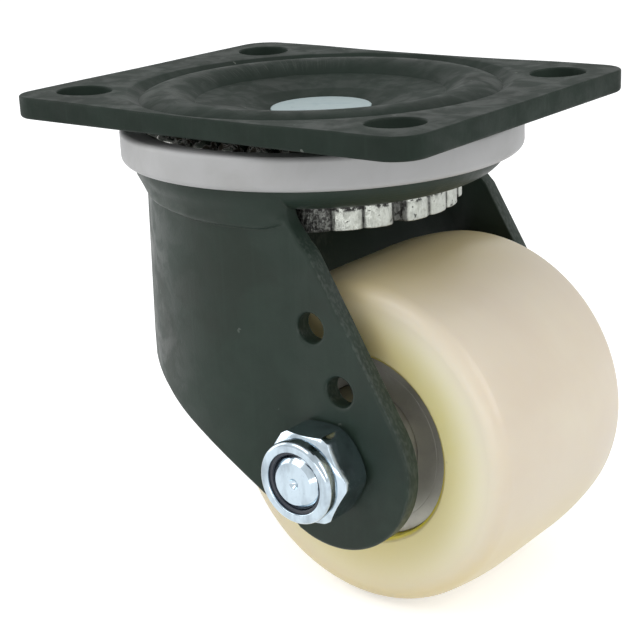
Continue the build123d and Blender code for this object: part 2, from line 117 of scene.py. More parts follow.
class Bench:
    """Places and joins the nodes of one material or node group."""

    def __init__(self, tree: bpy.types.NodeTree) -> None:
        """Take a node tree to work on.

        Args:
            tree: The tree of a material, a world or a node group.
        """
        self.tree = tree
        self.column = 0
        self.own_place: Socket | None = None

    def node(self, kind: str, inputs: dict | None = None, **settings: object) -> Node:
        """Place a node.

        Args:
            kind: The node's type name.
            inputs: Sockets to join or values to set, by input name or number.
            settings: Properties of the node.

        Returns:
            The new node.
        """
        made = self.tree.nodes.new(kind)
        self.column += 1
        made.location = (self.column * NODE_WIDTH, -(self.column % NODE_ROWS) * NODE_HEIGHT)
        for key, value in settings.items():
            setattr(made, key, value)
        for key, value in (inputs or {}).items():
            self.feed(made, key, value)
        return made

    def feed(self, node: Node, key: str | int, value: object) -> None:
        """Join a socket to a node's input, or set the input's value.

        Args:
            node: The node that takes the value.
            key: The input's name or number.
            value: A socket or a plain value.
        """
        target = node.inputs[key]
        if isinstance(value, Socket):
            self.tree.links.new(value, target)
        elif isinstance(value, tuple) and len(value) == 3 and target.type == "RGBA":
            target.default_value = (*value, 1.0)
        else:
            target.default_value = value

    def maths(self, operation: str, *values: object) -> Socket:
        """Place a Math node and return its result."""
        return self.node("ShaderNodeMath", dict(enumerate(values)), operation=operation).outputs[0]

    def times(self, first: object, *others: object) -> Socket:
        """Multiply two or more values."""
        for other in others:
            first = self.maths("MULTIPLY", first, other)
        return first

    def most(self, first: object, *others: object) -> Socket:
        """Take the highest of two or more values."""
        for other in others:
            first = self.maths("MAXIMUM", first, other)
        return first

    def distance(self, first: object, second: object) -> Socket:
        """Length of the line across two lengths at right angles."""
        return self.maths("SQRT", self.maths("ADD", self.times(first, first), self.times(second, second)))

    def vector(self, operation: str, *values: object) -> Socket:
        """Place a Vector Math node on one or two values and return its result."""
        made = self.node("ShaderNodeVectorMath", operation=operation)
        for key, value in zip((0, "Scale" if operation == "SCALE" else 1), values):
            self.feed(made, key, value)
        return made.outputs["Value" if operation == "DOT_PRODUCT" else "Vector"]

    def split(self, value: Socket) -> tuple[Socket, Socket, Socket]:
        """The X, Y and Z of a vector."""
        x, y, z = self.node("ShaderNodeSeparateXYZ", {0: value}).outputs
        return x, y, z

    def noise(self, place: Socket, scale: object, detail: float, roughness: float = 0.5,
              distortion: float = 0.0) -> Socket:
        """Place a noise texture.

        Args:
            place: Where on the surface it is read.
            scale: Its scale.
            detail: Its detail.
            roughness: How much the finer detail counts.
            distortion: How far it is twisted.

        Returns:
            The noise, 0 to 1.
        """
        return self.node("ShaderNodeTexNoise", {"Vector": place, "Scale": scale, "Detail": detail,
                                                "Roughness": roughness, "Distortion": distortion}).outputs[0]

    def blend(self, share: object, first: object, second: object) -> Socket:
        """Mix two colours.

        Args:
            share: How much of the second colour shows.
            first: The first colour.
            second: The second colour.

        Returns:
            The mixed colour.
        """
        return self.node("ShaderNodeMix", {0: share, 6: first, 7: second}, data_type="RGBA").outputs[2]

    def ramp(self, value: object, low: object, high: object, start: float = 0.0, end: float = 1.0) -> Socket:
        """Map a value from one range to another with soft ends.

        Args:
            value: The value to map.
            low: Where the range starts.
            high: Where the range ends.
            start: What the range's start becomes.
            end: What the range's end becomes.

        Returns:
            The mapped value.
        """
        inputs = dict(enumerate((value, low, high, start, end)))
        return self.node("ShaderNodeMapRange", inputs, interpolation_type="SMOOTHSTEP").outputs[0]

    def over(self, value: Socket, span: Point, start: float = 0.0, end: float = 1.0) -> Socket:
        """Map a length in metres over a span that is given in millimetres."""
        return self.ramp(value, span[0] * MM, span[1] * MM, start, end)

    def place(self) -> Socket:
        """The surface's own place, in metres."""
        if self.own_place is None:
            self.own_place = self.node("ShaderNodeTexCoord").outputs["Object"]
        return self.own_place

    def effect(self, effect: Effect, **inputs: object) -> Socket:
        """Place one of the shared effects.

        Args:
            effect: The effect.
            inputs: The group's inputs besides the place, by name.

        Returns:
            The effect's output.
        """
        made = self.node("ShaderNodeGroup", {}, node_tree=effect_group(effect))
        self.feed(made, "Place", self.place())
        for key, value in inputs.items():
            self.feed(made, key.capitalize(), value)
        return made.outputs[0]

    def seen(self) -> Socket:
        """Mask of the rays that see a surface straight, mirrored or through something."""
        path = self.node("ShaderNodeLightPath").outputs
        return self.most(path["Is Camera Ray"], path["Is Glossy Ray"], path["Is Transmission Ray"])


def open_bench(owner: Material | bpy.types.World) -> Bench:
    """Clear the node tree of a material or world and open a bench on it."""
    owner.use_nodes = True
    owner.node_tree.nodes.clear()
    return Bench(owner.node_tree)


def _patches(bench: Bench, place: Socket, scale: Socket, low: Socket, high: Socket) -> Socket:
    """Soft uneven patches, as in paint, plating or plastic."""
    return bench.ramp(bench.noise(place, scale, detail=5.0, roughness=0.6, distortion=0.4), low, high)


def _edge_rub(bench: Bench, place: Socket, reach: Socket, strength: Socket) -> Socket:
    """Places where an edge is rubbed, broken up by noise."""
    soft = bench.node("ShaderNodeBevel", {"Radius": reach}, samples=6).outputs[0]
    true = bench.node("ShaderNodeNewGeometry").outputs["Normal"]
    bent = bench.maths("SUBTRACT", 1.0, bench.vector("DOT_PRODUCT", soft, true))
    broken = bench.ramp(bench.noise(place, scale=150.0, detail=5.0), 0.4, 0.7)
    return bench.times(bench.ramp(bent, 0.01, 0.12), broken, strength)


def _streaks(bench: Bench, place: Socket, scale: Socket, stretch: Socket, low: Socket,
             high: Socket) -> Socket:
    """Fine streaks drawn out along Z, as a shear or a brush leaves."""
    squash = bench.node("ShaderNodeCombineXYZ", {0: 1.0, 1: 1.0, 2: stretch}).outputs[0]
    drawn = bench.vector("MULTIPLY", place, squash)
    return bench.ramp(bench.noise(drawn, scale, detail=3.0, roughness=0.55), low, high)


def _grain(bench: Bench, place: Socket, fine: Socket, slow: Socket, share: Socket) -> Socket:
    """Fine surface height: a close grain over slow unevenness."""
    inputs = {0: share, 2: bench.noise(place, fine, detail=3.0, roughness=0.6),
              3: bench.noise(place, slow, detail=3.0)}
    return bench.node("ShaderNodeMix", inputs, data_type="FLOAT").outputs[0]


def _specks(bench: Bench, place: Socket, scale: Socket, size: Socket, sparse: Socket) -> Socket:
    """Small scattered specks and nicks."""
    wander = bench.node("ShaderNodeTexNoise", {"Vector": place, "Scale": 1400.0, "Detail": 2.0})
    moved = bench.vector("ADD", place, bench.vector("SCALE", wander.outputs["Color"], 0.0016))
    cells = bench.node("ShaderNodeTexVoronoi", {"Vector": moved, "Scale": scale}).outputs
    chance = bench.node("ShaderNodeSeparateColor", {0: cells["Color"]}).outputs[0]
    return bench.times(bench.maths("LESS_THAN", cells["Distance"], size),
                       bench.maths("GREATER_THAN", chance, sparse))


def _radial(bench: Bench, place: Socket, scale: Socket, low: Socket, high: Socket) -> Socket:
    """Fine scratches drawn out from the swivel axis."""
    heading = bench.vector("NORMALIZE", bench.vector("MULTIPLY", place, (1.0, 1.0, 0.0)))
    joined = bench.vector("ADD", heading, bench.vector("SCALE", place, 1.5))
    return bench.ramp(bench.noise(joined, scale, detail=3.0, roughness=0.6), low, high)


EFFECTS: dict[Effect, tuple[Callable[..., Socket], tuple[str, ...]]] = {
    Effect.PATCHES: (_patches, ("Scale", "Low", "High")),
    Effect.EDGE_RUB: (_edge_rub, ("Reach", "Strength")),
    Effect.STREAKS: (_streaks, ("Scale", "Stretch", "Low", "High")),
    Effect.GRAIN: (_grain, ("Fine", "Slow", "Share")),
    Effect.SPECKS: (_specks, ("Scale", "Size", "Sparse")),
    Effect.RADIAL: (_radial, ("Scale", "Low", "High")),
}

_groups: dict[Effect, bpy.types.NodeTree] = {}


def effect_group(effect: Effect) -> bpy.types.NodeTree:
    """Build a shared effect the first time that it is asked for.

    Args:
        effect: The effect.

    Returns:
        Its node group.
    """
    if effect not in _groups:
        group = bpy.data.node_groups.new(effect.value, "ShaderNodeTree")
        make, names = EFFECTS[effect]
        group.interface.new_socket("Place", in_out="INPUT", socket_type="NodeSocketVector")
        for name in names:
            group.interface.new_socket(name, in_out="INPUT", socket_type="NodeSocketFloat")
        group.interface.new_socket("Mask", in_out="OUTPUT", socket_type="NodeSocketFloat")
        bench = Bench(group)
        given = bench.node("NodeGroupInput").outputs
        bench.node("NodeGroupOutput", {0: make(bench, *given[:len(names) + 1])})
        _groups[effect] = group
    return _groups[effect]


# Finishes


@dataclass(frozen=True)
class Finish:
    """What every finish has: its name, colour and roughness."""

    name: str
    colour: Colour
    roughness: float

    def start(self) -> tuple[Material, Bench, Node]:
        """Open a new material.

        Returns:
            The material, its bench and its shader.
        """
        material = bpy.data.materials.new(self.name)
        bench = open_bench(material)
        shader = bench.node("ShaderNodeBsdfPrincipled", {"Roughness": self.roughness})
        bench.node("ShaderNodeOutputMaterial", {0: shader.outputs[0]})
        return material, bench, shader

    def roughen(self, bench: Bench, shader: Node, mask: Socket, more: float, less: float = 0.0) -> None:
        """Vary the shader's roughness.

        Args:
            bench: The material's bench.
            shader: Its shader.
            mask: Where it is rougher, 0 to 1.
            more: How much rougher it is where the mask is 1.
            less: How much smoother it is where the mask is 0.
        """
        bench.feed(shader, "Roughness",
                   bench.ramp(mask, 0.0, 1.0, self.roughness - less, self.roughness + more))

    @staticmethod
    def bump(bench: Bench, shader: Node, height: Socket, strength: float, distance: float) -> None:
        """Join a height to a shader's normal.

        Args:
            bench: The material's bench.
            shader: Its shader.
            height: The height, 0 to 1.
            strength: How strongly it shows.
            distance: What a height of 1 is, in metres.
        """
        made = bench.node("ShaderNodeBump", {"Strength": strength, "Distance": distance, "Height": height})
        bench.feed(shader, "Normal", made.outputs[0])

    def make(self) -> Material:
        """Build the finish's material."""
        raise NotImplementedError


@dataclass(frozen=True)
class DarkPaint(Finish):
    """Thin dark green-black paint on pressed steel, its spans in millimetres."""

    # Colour of wear on edges and nicks, also used for the painted highlights below.
    wear_and_highlight: Colour
    earthy: Colour
    shine: float
    rub: float = 0.35
    streaks: float = 0.3
    unmarked: float = 0.94
    sheared: float = 0.0
    # Painted highlight: a lighter band along the crease under the flare, in the wear colour.
    crease_highlight: float = 0.0
    # Scratches across the dish's ridge, painted lighter on its lit front half: partly painted highlight.
    scratches_and_sheen: float = 0.0
    lighten: float = 1.35
    sheared_z: Point = (-23.5, -27.0)
    # Heights and front limit of the painted highlight band along the flare's crease.
    crease_highlight_foot: Point = (-23.0, -21.4)
    crease_highlight_top: Point = (-19.0, -21.0)
    crease_highlight_front: Point = (12.0, -12.0)
    # Spans of the ridge scratches; the front span keeps them to the lit side, as painted highlight.
    ridge_inside: Point = (28.0, 31.0)
    ridge_outside: Point = (41.5, 39.0)
    ridge_lit_front: Point = (-6.0, -26.0)

    def make(self) -> Material:
        """Build paint with cloudy tints, worn sheared edges, rubbed edges and nicks, a painted highlight band
        along the flare's crease, and ridge scratches painted lighter on the lit side.
        """
        material, bench, shader = self.start()
        bench.feed(shader, "Specular IOR Level", self.shine)
        cloudy = bench.effect(Effect.PATCHES, scale=38.0, low=0.38, high=0.66)
        tint = bench.effect(Effect.PATCHES, scale=95.0, low=0.45, high=0.75)
        lighter = tuple(min(1.0, self.lighten * value) for value in self.colour)
        base = bench.blend(bench.times(cloudy, 0.55), self.colour, self.earthy)
        base = bench.blend(bench.times(tint, 0.5), base, lighter)
        drawn = self.drawn_walls(bench)
        base = bench.blend(drawn, base, lighter)
        # Sheared edges are wear; the polished band is a painted highlight along the crease; the ridge
        # scratches are painted lighter on the ridge's lit side.
        for amount, mask in ((self.sheared, self.sheared_edges), (self.crease_highlight, self.crease_highlight_band),
                             (self.scratches_and_sheen, self.ridge_scratches_and_sheen)):
            if amount:
                base = bench.blend(bench.times(mask(bench), amount), base, self.wear_and_highlight)
        rubbed = bench.effect(Effect.EDGE_RUB, reach=0.0007, strength=self.rub)
        nicked = bench.effect(Effect.SPECKS, scale=260.0, size=0.1, sparse=self.unmarked)
        base = bench.blend(rubbed, base, self.wear_and_highlight)
        base = bench.blend(bench.times(nicked, 0.5), base, self.wear_and_highlight)
        bench.feed(shader, "Base Color", base)
        uneven = bench.effect(Effect.PATCHES, scale=160.0, low=0.3, high=0.7)
        self.roughen(bench, shader, uneven, more=0.1, less=0.06)
        height = bench.effect(Effect.GRAIN, fine=1700.0, slow=90.0, share=0.55)
        self.bump(bench, shader, bench.maths("ADD", height, bench.times(drawn, 0.4)),
                  strength=0.5, distance=0.00012)
        return material

    def drawn_walls(self, bench: Bench) -> Socket:
        """Streaks that the press leaves down the upright walls."""
        facing = bench.split(bench.node("ShaderNodeNewGeometry").outputs["Normal"])[2]
        upright = bench.ramp(bench.maths("ABSOLUTE", facing), 0.35, 0.15)
        drawn = bench.effect(Effect.STREAKS, scale=700.0, stretch=0.05, low=0.5, high=0.8)
        return bench.times(drawn, upright, self.streaks)

    def sheared_edges(self, bench: Bench) -> Socket:
        """Mask of the torn surface on the legs' rear edges."""
        facing = bench.split(bench.node("ShaderNodeTexCoord").outputs["Normal"])[0]
        torn = bench.effect(Effect.STREAKS, scale=1500.0, stretch=0.35, low=0.42, high=0.64)
        low = bench.over(bench.split(bench.place())[2], self.sheared_z)
        return bench.times(bench.ramp(facing, 0.5, 0.7), torn, low)

    def crease_highlight_band(self, bench: Bench) -> Socket:
        """Mask of the painted highlight band round the front under the flare, along its crease, where light
        catches the fold.
        """
        x, _, z = bench.split(bench.place())
        uneven = bench.effect(Effect.PATCHES, scale=120.0, low=0.3, high=0.7)
        return bench.times(bench.over(z, self.crease_highlight_foot), bench.over(z, self.crease_highlight_top),
                           bench.over(x, self.crease_highlight_front), uneven)

    def ridge_scratches_and_sheen(self, bench: Bench) -> Socket:
        """Mask of the scratches across the dish's ridge, painted lighter only on its front half, where light
        falls: real scratches and painted highlight.
        """
        x, y, _ = bench.split(bench.place())
        radius = bench.distance(x, y)
        drawn = bench.effect(Effect.RADIAL, scale=85.0, low=0.5, high=0.7)
        return bench.times(bench.over(radius, self.ridge_inside), bench.over(radius, self.ridge_outside),
                           bench.over(x, self.ridge_lit_front), drawn)


@dataclass(frozen=True)
class Plating(Finish):
    """Bright zinc plating on steel."""

    stain: Colour = (0.25, 0.29, 0.36)
    stained: float = 0.35
    grain: float = 0.25
    # Painted reflection: dark streaks that stand in for dark surroundings mirrored in the metal.
    reflected_dark: Colour = (0.06, 0.075, 0.09)
    drawn: float = 0.0

    def make(self) -> Material:
        """Build bright metal with faint stains, small pits, a fine grain and, where asked, painted dark
        reflection streaks.
        """
        material, bench, shader = self.start()
        bench.feed(shader, "Metallic", 1.0)
        cloudy = bench.effect(Effect.PATCHES, scale=240.0, low=0.45, high=0.75)
        pits = bench.effect(Effect.PATCHES, scale=1500.0, low=0.62, high=0.7)
        base = bench.blend(bench.times(cloudy, self.stained), self.colour, self.stain)
        base = bench.blend(bench.times(pits, 0.35), base, self.stain)
        # Painted reflection of dark surroundings, drawn out along Z.
        if self.drawn:
            reflection_streaks = bench.effect(Effect.STREAKS, scale=260.0, stretch=0.4, low=0.44, high=0.74)
            base = bench.blend(bench.times(reflection_streaks, self.drawn), base, self.reflected_dark)
        bench.feed(shader, "Base Color", base)
        self.roughen(bench, shader, cloudy, more=0.12)
        height = bench.effect(Effect.GRAIN, fine=3000.0, slow=420.0, share=0.5)
        self.bump(bench, shader, height,
                  strength=self.grain, distance=0.00008)
        return material


@dataclass(frozen=True)
class ShearedZinc(Finish):
    """Zinc over a rough sheared edge, with dark pits, and painted shade in its valleys, under its top edge
    and on one side, its spans in millimetres.
    """

    # Dark colour of the dirt in the pits and of the painted shade.
    dirt_and_shade: Colour = (0.012, 0.012, 0.01)
    dull: Colour = (0.25, 0.26, 0.24)
    # Radii over which the valleys between lobes get painted shade.
    valley: Point = (30.8, 30.4)
    # Heights of the painted shadow along the ring's top edge, under the crown.
    brow: Point = (-21.95, -21.35)
    # Span of x over which one side of the ring gets painted shade.
    shaded: Point = (20.3, 19.5)

    def make(self) -> Material:
        """Build torn bright metal with dark dirt in its pits, and painted shade in its valleys, under its top
        edge and on one side.
        """
        material, bench, shader = self.start()
        torn = bench.effect(Effect.PATCHES, scale=800.0, low=0.44, high=0.58)
        pitted = bench.effect(Effect.PATCHES, scale=700.0, low=0.6, high=0.66)
        dulled = bench.effect(Effect.STREAKS, scale=480.0, stretch=0.7, low=0.45, high=0.7)
        rough = bench.effect(Effect.PATCHES, scale=1500.0, low=0.4, high=0.6)
        x, y, z = bench.split(bench.place())
        # Painted shade in the valleys between the lobes.
        low = bench.over(bench.distance(x, y), self.valley)
        low = bench.times(low, bench.ramp(torn, 0.0, 1.0, 0.75, 1.0))
        # Painted shade on one side of the ring, broken by a rough texture.
        side = bench.times(bench.over(x, self.shaded), bench.ramp(rough, 0.0, 1.0, 0.99, 0.6))
        # Painted shadow along the top edge, broken up by noise.
        brow = bench.over(bench.maths("ADD", z, bench.times(torn, 0.0008)), self.brow)
        # Dark dirt in the pits joined with the painted shade in the valleys, under the top edge and on one
        # side.
        dirt_and_shade_mask = bench.most(low, side, brow, bench.times(pitted, 0.85))
        base = bench.blend(bench.times(dulled, 0.45), self.colour, self.dull)
        bench.feed(shader, "Base Color", bench.blend(dirt_and_shade_mask, base, self.dirt_and_shade))
        bench.feed(shader, "Metallic", bench.ramp(dirt_and_shade_mask, 0.0, 1.0, 1.0, 0.2))
        self.roughen(bench, shader, torn, more=0.25)
        height = bench.effect(Effect.GRAIN, fine=2600.0, slow=800.0, share=0.6)
        drawn = bench.effect(Effect.STREAKS, scale=1100.0, stretch=0.2, low=0.3, high=0.7)
        self.bump(bench, shader, bench.maths("ADD", height, bench.times(drawn, 0.5)),
                  strength=0.9, distance=0.0003)
        return material


@dataclass(frozen=True)
class GroundSteel(Finish):
    """Ground bearing steel and pressed shields."""

    film: Colour = (0.2, 0.18, 0.19)

    def make(self) -> Material:
        """Build dull steel with a patchy oil film and a fine grain."""
        material, bench, shader = self.start()
        bench.feed(shader, "Metallic", 1.0)
        film = bench.effect(Effect.PATCHES, scale=110.0, low=0.35, high=0.75)
        bench.feed(shader, "Base Color", bench.blend(bench.times(film, 0.4), self.colour, self.film))
        self.roughen(bench, shader, film, more=0.15)
        self.bump(bench, shader, bench.effect(Effect.GRAIN, fine=3500.0, slow=300.0, share=0.3),
                  strength=0.2, distance=0.00006)
        return material


@dataclass(frozen=True)
class GreasyBall(Finish):
    """Polished steel under patches of dark grease."""

    grease: Colour = (0.02, 0.016, 0.01)

    def make(self) -> Material:
        """Build mirror steel, mostly covered by glossy grease."""
        material, bench, shader = self.start()
        smeared = bench.effect(Effect.PATCHES, scale=420.0, low=0.46, high=0.54)
        bench.feed(shader, "Base Color", bench.blend(smeared, self.colour, self.grease))
        bench.feed(shader, "Metallic", bench.ramp(smeared, 0.0, 1.0, 1.0, 0.0))
        self.roughen(bench, shader, smeared, more=0.23)
        self.bump(bench, shader, bench.effect(Effect.GRAIN, fine=1500.0, slow=400.0, share=0.6),
                  strength=0.5, distance=0.0002)
        return material


@dataclass(frozen=True)
class MouldedPlastic(Finish):
    """Moulded plastic with a faint texture and a little grime."""

    grime: Colour = (0.2, 0.2, 0.19)
    grimy: float = 0.15

    def make(self) -> Material:
        """Build soft plastic with uneven tone, grime and dust specks."""
        material, bench, shader = self.start()
        cloudy = bench.effect(Effect.PATCHES, scale=70.0, low=0.4, high=0.8)
        specks = bench.effect(Effect.SPECKS, scale=420.0, size=0.09, sparse=0.9)
        base = bench.blend(bench.times(cloudy, self.grimy), self.colour, self.grime)
        bench.feed(shader, "Base Color", bench.blend(bench.times(specks, 0.25), base, self.grime))
        self.roughen(bench, shader, cloudy, more=0.1)
        self.bump(bench, shader, bench.effect(Effect.GRAIN, fine=2400.0, slow=150.0, share=0.4),
                  strength=0.25, distance=0.0001)
        return material


@dataclass(frozen=True)
class CastNylon(Finish):
    """Glossy cream cast nylon that light enters a little, its spans in millimetres."""

    hub_tone: Colour
    tread_tone: Colour
    # Colour of the painted shade in the bearing recess.
    recess_shade_tone: Colour = plain_light(226, 210, 40)
    # Colour of the painted shade where ambient occlusion finds the surface closed in.
    occlusion_shade_tone: Colour = plain_light(219, 201, 144)
    speck_tone: Colour = (0.35, 0.3, 0.2)
    pale_from_hub: Point = (21.5, 34.5)
    onto_tread: Point = (29.0, 36.5)
    into_recess: Point = (21.9, 21.3)

    def make(self) -> Material:
        """Build nylon that is yellower near the hub and pinker on the tread, with painted shade where the
        surface is closed in and in the bearing recess.
        """
        material, bench, shader = self.start()
        for key, value in {"Subsurface Weight": 0.35, "Subsurface Scale": 0.004, "Coat Weight": 0.1,
                           "Subsurface Radius": (1.0, 0.85, 0.5), "Coat Roughness": 0.18}.items():
            bench.feed(shader, key, value)
        x, _, z = bench.split(bench.place())
        radius = bench.distance(bench.maths("SUBTRACT", x, AXLE[0] * MM),
                                bench.maths("SUBTRACT", z, AXLE[1] * MM))
        cloudy = bench.effect(Effect.PATCHES, scale=26.0, low=0.3, high=0.75)
        base = bench.blend(bench.over(radius, self.pale_from_hub, 1.0, 0.0), self.colour, self.hub_tone)
        base = bench.blend(bench.times(bench.over(radius, self.onto_tread), 0.85), base, self.tread_tone)
        deeper = tuple(0.9 * value for value in self.colour)
        base = bench.blend(bench.times(cloudy, 0.35), base, deeper)
        # Painted shade: ambient occlusion darkens closed-in places toward a deeper yellow.
        hidden = bench.node("ShaderNodeAmbientOcclusion", {"Distance": 0.045}, samples=8)
        closed = bench.ramp(hidden.outputs["AO"], 0.85, 0.3)
        base = bench.blend(bench.times(closed, 0.7), base, self.occlusion_shade_tone)
        # Painted shade in the bearing recess, by radius from the axle.
        base = bench.blend(bench.over(radius, self.into_recess), base, self.recess_shade_tone)
        specks = bench.effect(Effect.SPECKS, scale=240.0, size=0.06, sparse=0.94)
        bench.feed(shader, "Base Color", bench.blend(bench.times(specks, 0.25), base, self.speck_tone))
        self.roughen(bench, shader, cloudy, more=0.1)
        self.bump(bench, shader, bench.effect(Effect.GRAIN, fine=900.0, slow=60.0, share=0.75),
                  strength=0.12, distance=0.0002)
        return material


class Finishes:
    """Every finish of the castor, each made once."""

    def __init__(self) -> None:
        """Make the materials."""
        # The fork's paint carries a painted highlight band along the flare's crease.
        self.paint = DarkPaint("fork_paint", plain_light(34, 46, 39), 0.42, plain_light(88, 94, 88),
                               plain_light(32, 38, 31), 0.21, sheared=0.25, crease_highlight=0.35).make()
        # The plate's paint has ridge scratches painted lighter on the ridge's lit side.
        self.plate_paint = DarkPaint("plate_paint", plain_light(30, 40, 34), 0.55, plain_light(116, 120, 114),
                                     plain_light(26, 33, 28), 0.11, rub=0.4, streaks=0.5, unmarked=0.9,
                                     scratches_and_sheen=0.13).make()
        self.zinc = Plating("bright_zinc", plain_light(186, 200, 212), 0.13).make()
        # The nut's zinc carries painted dark reflection streaks.
        self.nut_zinc = Plating("nut_zinc", plain_light(190, 205, 215), 0.1, drawn=0.4).make()
        self.head_zinc = Plating("pin_zinc", plain_light(162, 180, 182), 0.38, stained=0.2).make()
        self.sheared_zinc = ShearedZinc("sheared_zinc", plain_light(178, 181, 174), 0.34).make()
        self.steel = GroundSteel("bearing_steel", plain_light(176, 175, 166), 0.47).make()
        self.balls = GreasyBall("greased_steel", plain_light(232, 232, 226), 0.07).make()
        self.cage = MouldedPlastic("cage_plastic", plain_light(96, 92, 84), 0.5).make()
        self.dust_ring = MouldedPlastic("ring_plastic", plain_light(166, 166, 166), 0.45,
                                        plain_light(138, 137, 132), 0.4).make()
        self.nylon = CastNylon("wheel_nylon", plain_light(236, 230, 208), 0.34, plain_light(214, 206, 136),
                               plain_light(206, 191, 171)).make()
        self.insert = MouldedPlastic("insert_nylon", plain_light(24, 32, 46), 0.35).make()


# Mesh making


# Points closer than this, in metres, become one.
MERGE_DISTANCE = 2e-6
# Edges and triangles smaller than this are dropped.
SLIVER = 1e-7
# The share of a run that one corner's round may take.
MOST_OF_A_RUN = 0.48
# Runs shorter than this, in millimetres, are no runs.
SHORTEST_RUN = 1e-6


def linked(name: str, data: bpy.types.ID) -> bpy.types.Object:
    """Make an object in the scene."""
    made = bpy.data.objects.new(name, data)
    bpy.context.scene.collection.objects.link(made)
    return made


@dataclass
class Draft:
    """A mesh in the making, in millimetres in the castor's own frame."""

    points: list[Vector] = field(default_factory=list)
    faces: list[tuple[int, ...]] = field(default_factory=list)

    def grid(self, rows: Sequence[Sequence[Vector]], round_columns: bool = False) -> None:
        """Add four-sided faces through rows of points that each close on themselves.

        Args:
            rows: Rows of equally many points.
            round_columns: Join the last row to the first.
        """
        start = len(self.points)
        width = len(rows[0])
        for row in rows:
            self.points.extend(row)
        for i in range(len(rows) if round_columns else len(rows) - 1):
            here, above = start + i * width, start + (i + 1) % len(rows) * width
            for k in range(width):
                m = (k + 1) % width
                self.faces.append((here + k, here + m, above + m, above + k))

    def add(self, other: "Draft") -> "Draft":
        """Add another draft's mesh to this one."""
        start = len(self.points)
        self.points.extend(other.points)
        self.faces.extend(tuple(start + index for index in face) for face in other.faces)
        return self

    def put(self, place: Place) -> "Draft":
        """Move every point to what a function makes of it."""
        self.points = [place(point) for point in self.points]
        return self

    def piece(self, name: str, body: Body, material: Material, slot: str, replaced: Sequence[str],
              sharp: float = 34.0, soften: float = 0.0) -> None:
        """Make the draft an object that rides on a body.

        Args:
            name: The piece's name.
            body: The body it moves with.
            material: Its material.
            slot: The record's material slot; not used.
            replaced: The CAD nodes it stands for.
            sharp: Edges that turn by more than this many degrees stay sharp.
            soften: Width of a bevel on those edges, in millimetres.
        """
        mesh = bpy.data.meshes.new(name)
        mesh.from_pydata([point * MM for point in self.points], [], self.faces)
        made = bmesh.new()
        made.from_mesh(mesh)
        bmesh.ops.remove_doubles(made, verts=made.verts, dist=MERGE_DISTANCE)
        bmesh.ops.dissolve_degenerate(made, edges=made.edges, dist=SLIVER)
        bmesh.ops.recalc_face_normals(made, faces=made.faces)
        if soften:
            corners = [edge for edge in made.edges
                       if edge.is_manifold and edge.calc_face_angle(0.0) > math.radians(sharp)]
            bmesh.ops.bevel(made, geom=corners, offset=soften * MM, segments=3, profile=0.5,
                            affect="EDGES", clamp_overlap=True)
        made.to_mesh(mesh)
        made.free()
        mesh.shade_smooth()
        mesh.set_sharp_from_angle(angle=math.radians(sharp))
        mesh.materials.append(material)
        made_object = linked(name, mesh)
        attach(made_object, body.value)
        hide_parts(*replaced)
        log.info("%s: %d faces on %s", name, len(mesh.polygons), body.value)


def share_of(value: float, span: Point) -> float:
    """How far along a span a value lies, from 0 at its start to 1 at its end."""
    return min(1.0, max(0.0, (value - span[0]) / (span[1] - span[0])))


def between(first: Point, second: Point, share: float) -> Point:
    """The point at a share of the way from one point to another."""
    return (first[0] + (second[0] - first[0]) * share, first[1] + (second[1] - first[1]) * share)


def around(centre: Point, radius: float, degrees: float) -> Point:
    """The point at a radius from a centre, in a direction given in degrees."""
    turn = math.radians(degrees)
    return (centre[0] + radius * math.cos(turn), centre[1] + radius * math.sin(turn))


def turned(radius: float, turn: float, height: float) -> Vector:
    """The point at a radius from Z, in a direction given in radians, and at a height."""
    return Vector((radius * math.cos(turn), radius * math.sin(turn), height))


def rounded(corners: Sequence[Corner], steps: int, closed: bool = True) -> list[Point]:
    """Round the corners of an outline.

    Args:
        corners: Corners as (x, y, radius of the round).
        steps: Straight runs in each round.
        closed: Whether the last corner joins the first.

    Returns:
        The points of the rounded outline.
    """
    made: list[Point] = []
    count = len(corners)
    for index, (x, y, radius) in enumerate(corners):
        here = Vector((x, y))
        if radius <= 0 or (not closed and index in (0, count - 1)):
            made.append((x, y))
            continue
        back = Vector(corners[index - 1][:2]) - here
        ahead = Vector(corners[(index + 1) % count][:2]) - here
        half = back.angle(ahead) / 2
        reach = min(radius / math.tan(half), MOST_OF_A_RUN * back.length, MOST_OF_A_RUN * ahead.length)
        true_radius = reach * math.tan(half)
        back.normalize()
        ahead.normalize()
        centre = here + (back + ahead).normalized() * (true_radius / math.sin(half))
        first = here + back * reach - centre
        last = here + ahead * reach - centre
        swing = first.angle(last)
        for step in range(steps + 1):
            share = step / steps
            out = first * math.sin((1 - share) * swing) + last * math.sin(share * swing)
            spot = centre + out / math.sin(swing)
            made.append((spot.x, spot.y))
    return made


def arc(centre: Point, radius: float, start: float, end: float, steps: int) -> list[Point]:
    """Points of an arc, its angles in degrees."""
    return [around(centre, radius, start + (end - start) * k / steps) for k in range(steps + 1)]


def supported(profile: Sequence[Point], closed: bool, long_run: float = 0.6,
              inset: float = 0.1) -> list[Point]:
    """Add points near the ends of a section's long runs, so that they shade flat.

    Args:
        profile: (radius, height) points.
        closed: Whether the last point joins the first.
        long_run: Runs longer than this get the points.
        inset: How far from a run's end each point lies.

    Returns:
        The section with the added points.
    """
    made: list[Point] = []
    for index, spot in enumerate(profile):
        made.append(spot)
        following = profile[(index + 1) % len(profile)]
        length = math.dist(spot, following)
        if length > long_run and (closed or index < len(profile) - 1):
            made += [between(spot, following, share) for share in (inset / length, 1 - inset / length)]
    return made


